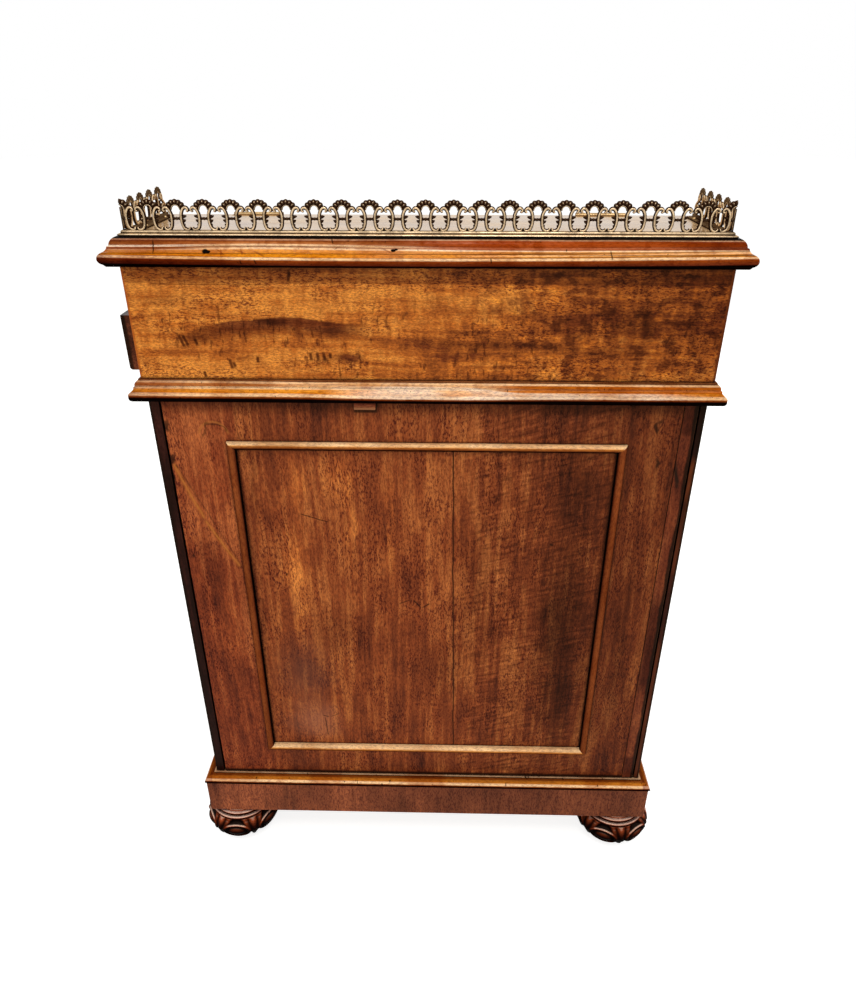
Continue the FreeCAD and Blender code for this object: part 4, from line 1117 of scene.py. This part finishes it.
def carving(angle, z):
    """How deep the foot is cut at an angle from a cabochon's middle, in millimetres. Only the bun is cut."""
    part = 2 * math.pi / CABOCHONS
    across = ((angle + part / 2) % part - part / 2) * FOOT_RADIUS
    far = math.hypot(across / 14.0, (z - CABOCHON_LEVEL) * 1.12 / 8.6)
    cut = DEEPEST
    if far < 1.0:
        cut = 3.2 - 2.8 * math.sqrt(1.0 - far * far)
    elif 1.14 < far < 1.60:
        ridge = math.sqrt(1.0 - ((far - 1.37) / 0.23) ** 2)
        cut = DEEPEST - (DEEPEST - 0.3) * ridge ** 0.7
    side = (part / 2 * FOOT_RADIUS - abs(across)) / (3.4 + 0.85 * max(0.0, z - 18.0))
    if side < 1.0 and far > 1.54:
        rib = abs(math.cos(math.pi * 1.5 * side))
        cut = min(cut, 0.3 + 1.6 * (1.0 - rib) ** 0.8 + 3.2 * side ** 3)
    return cut * min(1.0, max(0.0, (BUN_TOP - z) / 3.0)) * min(1.0, z / 5.0)


def carved_foot(node, turn, material):
    low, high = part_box(node)
    centre = Vector(((low.x + high.x) / 2, (low.y + high.y) / 2, 0.0))
    c = Casting()
    bottom = c.point(0.0, 0.0, 0.0, 0.0)
    rows = []
    for radius, z in foot_profile():
        row = []
        for angle in turn_in(FOOT_STEPS):
            cut = carving(angle - math.radians(turn), z)
            out = radius - cut
            # The worn mark here is 1 on the uncut surface and 0 at the deepest cut; the cuts are painted
            # black from it.
            row.append(c.point(out * math.cos(angle), out * math.sin(angle), z, 1.0 - cut / DEEPEST))
        rows.append(row)
    c.skin(rows)
    first, last = rows[0], rows[-1]
    c.faces.extend((bottom, b, a) for a, b in zip(first, first[1:] + first[:1]))
    top = c.point(0.0, 0.0, DOWEL_TOP, 1.0)
    c.faces.extend((top, a, b) for a, b in zip(last, last[1:] + last[:1]))
    vertices = [centre + Vector(v) * MM for v in c.vertices]
    made = piece_from(node + "_carved", vertices, c.faces, c.worn, material, "case")
    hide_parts(node)


# ---- stage
def look_along(thing, forward):
    thing.rotation_mode = "QUATERNION"
    thing.rotation_quaternion = Vector(forward).to_track_quat("-Z", "Y")


def softbox(name, place, watts, width, height, target=(0.0, 0.0, 0.5), mirrored=False):
    data = bpy.data.lights.new(name, "AREA")
    data.shape = "RECTANGLE"
    data.size = width
    data.size_y = height
    data.energy = watts
    lamp = add_object(name, data)
    lamp.location = place
    lamp.visible_glossy = mirrored
    look_along(lamp, Vector(target) - Vector(place))


def build_camera():
    down = math.radians(28.30)
    yaw = math.radians(1.29)
    data = bpy.data.cameras.new("camera")
    data.sensor_width = 36.0
    data.lens = 27.19
    camera = add_object("camera", data)
    camera.location = (-0.01875, 1.0016, 0.9381)
    look_along(camera, (math.sin(yaw) * math.cos(down), -math.cos(yaw) * math.cos(down), -math.sin(down)))
    bpy.context.scene.camera = camera


def build_world():
    """Soft light from all round, which looks white to the camera and in polish."""
    tree = Tree(bpy.data.worlds.new("studio"))
    bpy.context.scene.world = tree.owner
    soft = tree.shader("ShaderNodeBackground", colour(1.0, 0.985, 0.96), 0.42)
    white = tree.shader("ShaderNodeBackground", colour(1.0, 1.0, 1.0), 1.0)
    seen = tree.seen_by("Is Camera Ray", "Is Glossy Ray", "Is Transmission Ray")
    tree.node("ShaderNodeOutputWorld", {0: tree.shader("ShaderNodeMixShader", seen, soft, white)})


def build_floor():
    """Round pale floor. Seen directly it reads white, and it keeps the desk's shadow."""
    mesh = bpy.data.meshes.new("floor")
    mesh.from_pydata([(14 * math.cos(a), 14 * math.sin(a), 0.0) for a in turn_in(64)], [], [tuple(range(64))])
    tree = Tree(bpy.data.materials.new("floor_paper"))
    paper = tree.shader("ShaderNodeBsdfDiffuse", colour(0.62, 0.61, 0.59))
    glow = tree.shader("ShaderNodeEmission", colour(1.0, 1.0, 1.0), 0.80)
    lit = tree.shader("ShaderNodeAddShader", paper, glow)
    seen = tree.seen_by("Is Camera Ray")
    tree.node("ShaderNodeOutputMaterial", {0: tree.shader("ShaderNodeMixShader", seen, paper, lit)})
    mesh.materials.append(tree.owner)
    floor = add_object("floor", mesh)


def build_stage():
    build_camera()
    build_world()
    build_floor()
    softbox("key", (-0.13, 1.25, 2.15), 8, 0.55, 0.45, (0.0, 0.28, 0.60), True)
    softbox("strip", (0.0, 0.75, 2.50), 5, 3.0, 0.35, (0.0, 0.25, 0.70), True)
    softbox("overhead", (0.0, -0.3, 2.6), 9, 2.2, 2.2)
    softbox("back_fill", (0.0, 2.4, 0.5), 18, 2.0, 1.0, (0.0, 0.0, 0.3))
    softbox("front_fill", (-0.6, -2.2, 1.4), 24, 1.6, 1.6)
    softbox("right_fill", (2.2, 0.0, 1.2), 12, 1.2, 1.4)
    softbox("left_fill", (-2.2, 0.0, 1.2), 12, 1.2, 1.4)
    bpy.context.scene.view_settings.view_transform = "Standard"


dress_case()
dress_lap()
dress_inside()
build_gallery(brass("gallery_brass", (1.0, 0.73, 0.44), (0.026, 0.008, 0.003), 0.30, True))
carved = wood("carved_mahogany", upwards, profile=carved_painted_light, marks=carved_wax_and_shade,
              **(shiny | dict(specular=0.45, roughness=0.15, shadow=1.0)))
for foot_node, foot_turn in foot_turns.items():
    carved_foot(foot_node, foot_turn, carved)
build_stage()
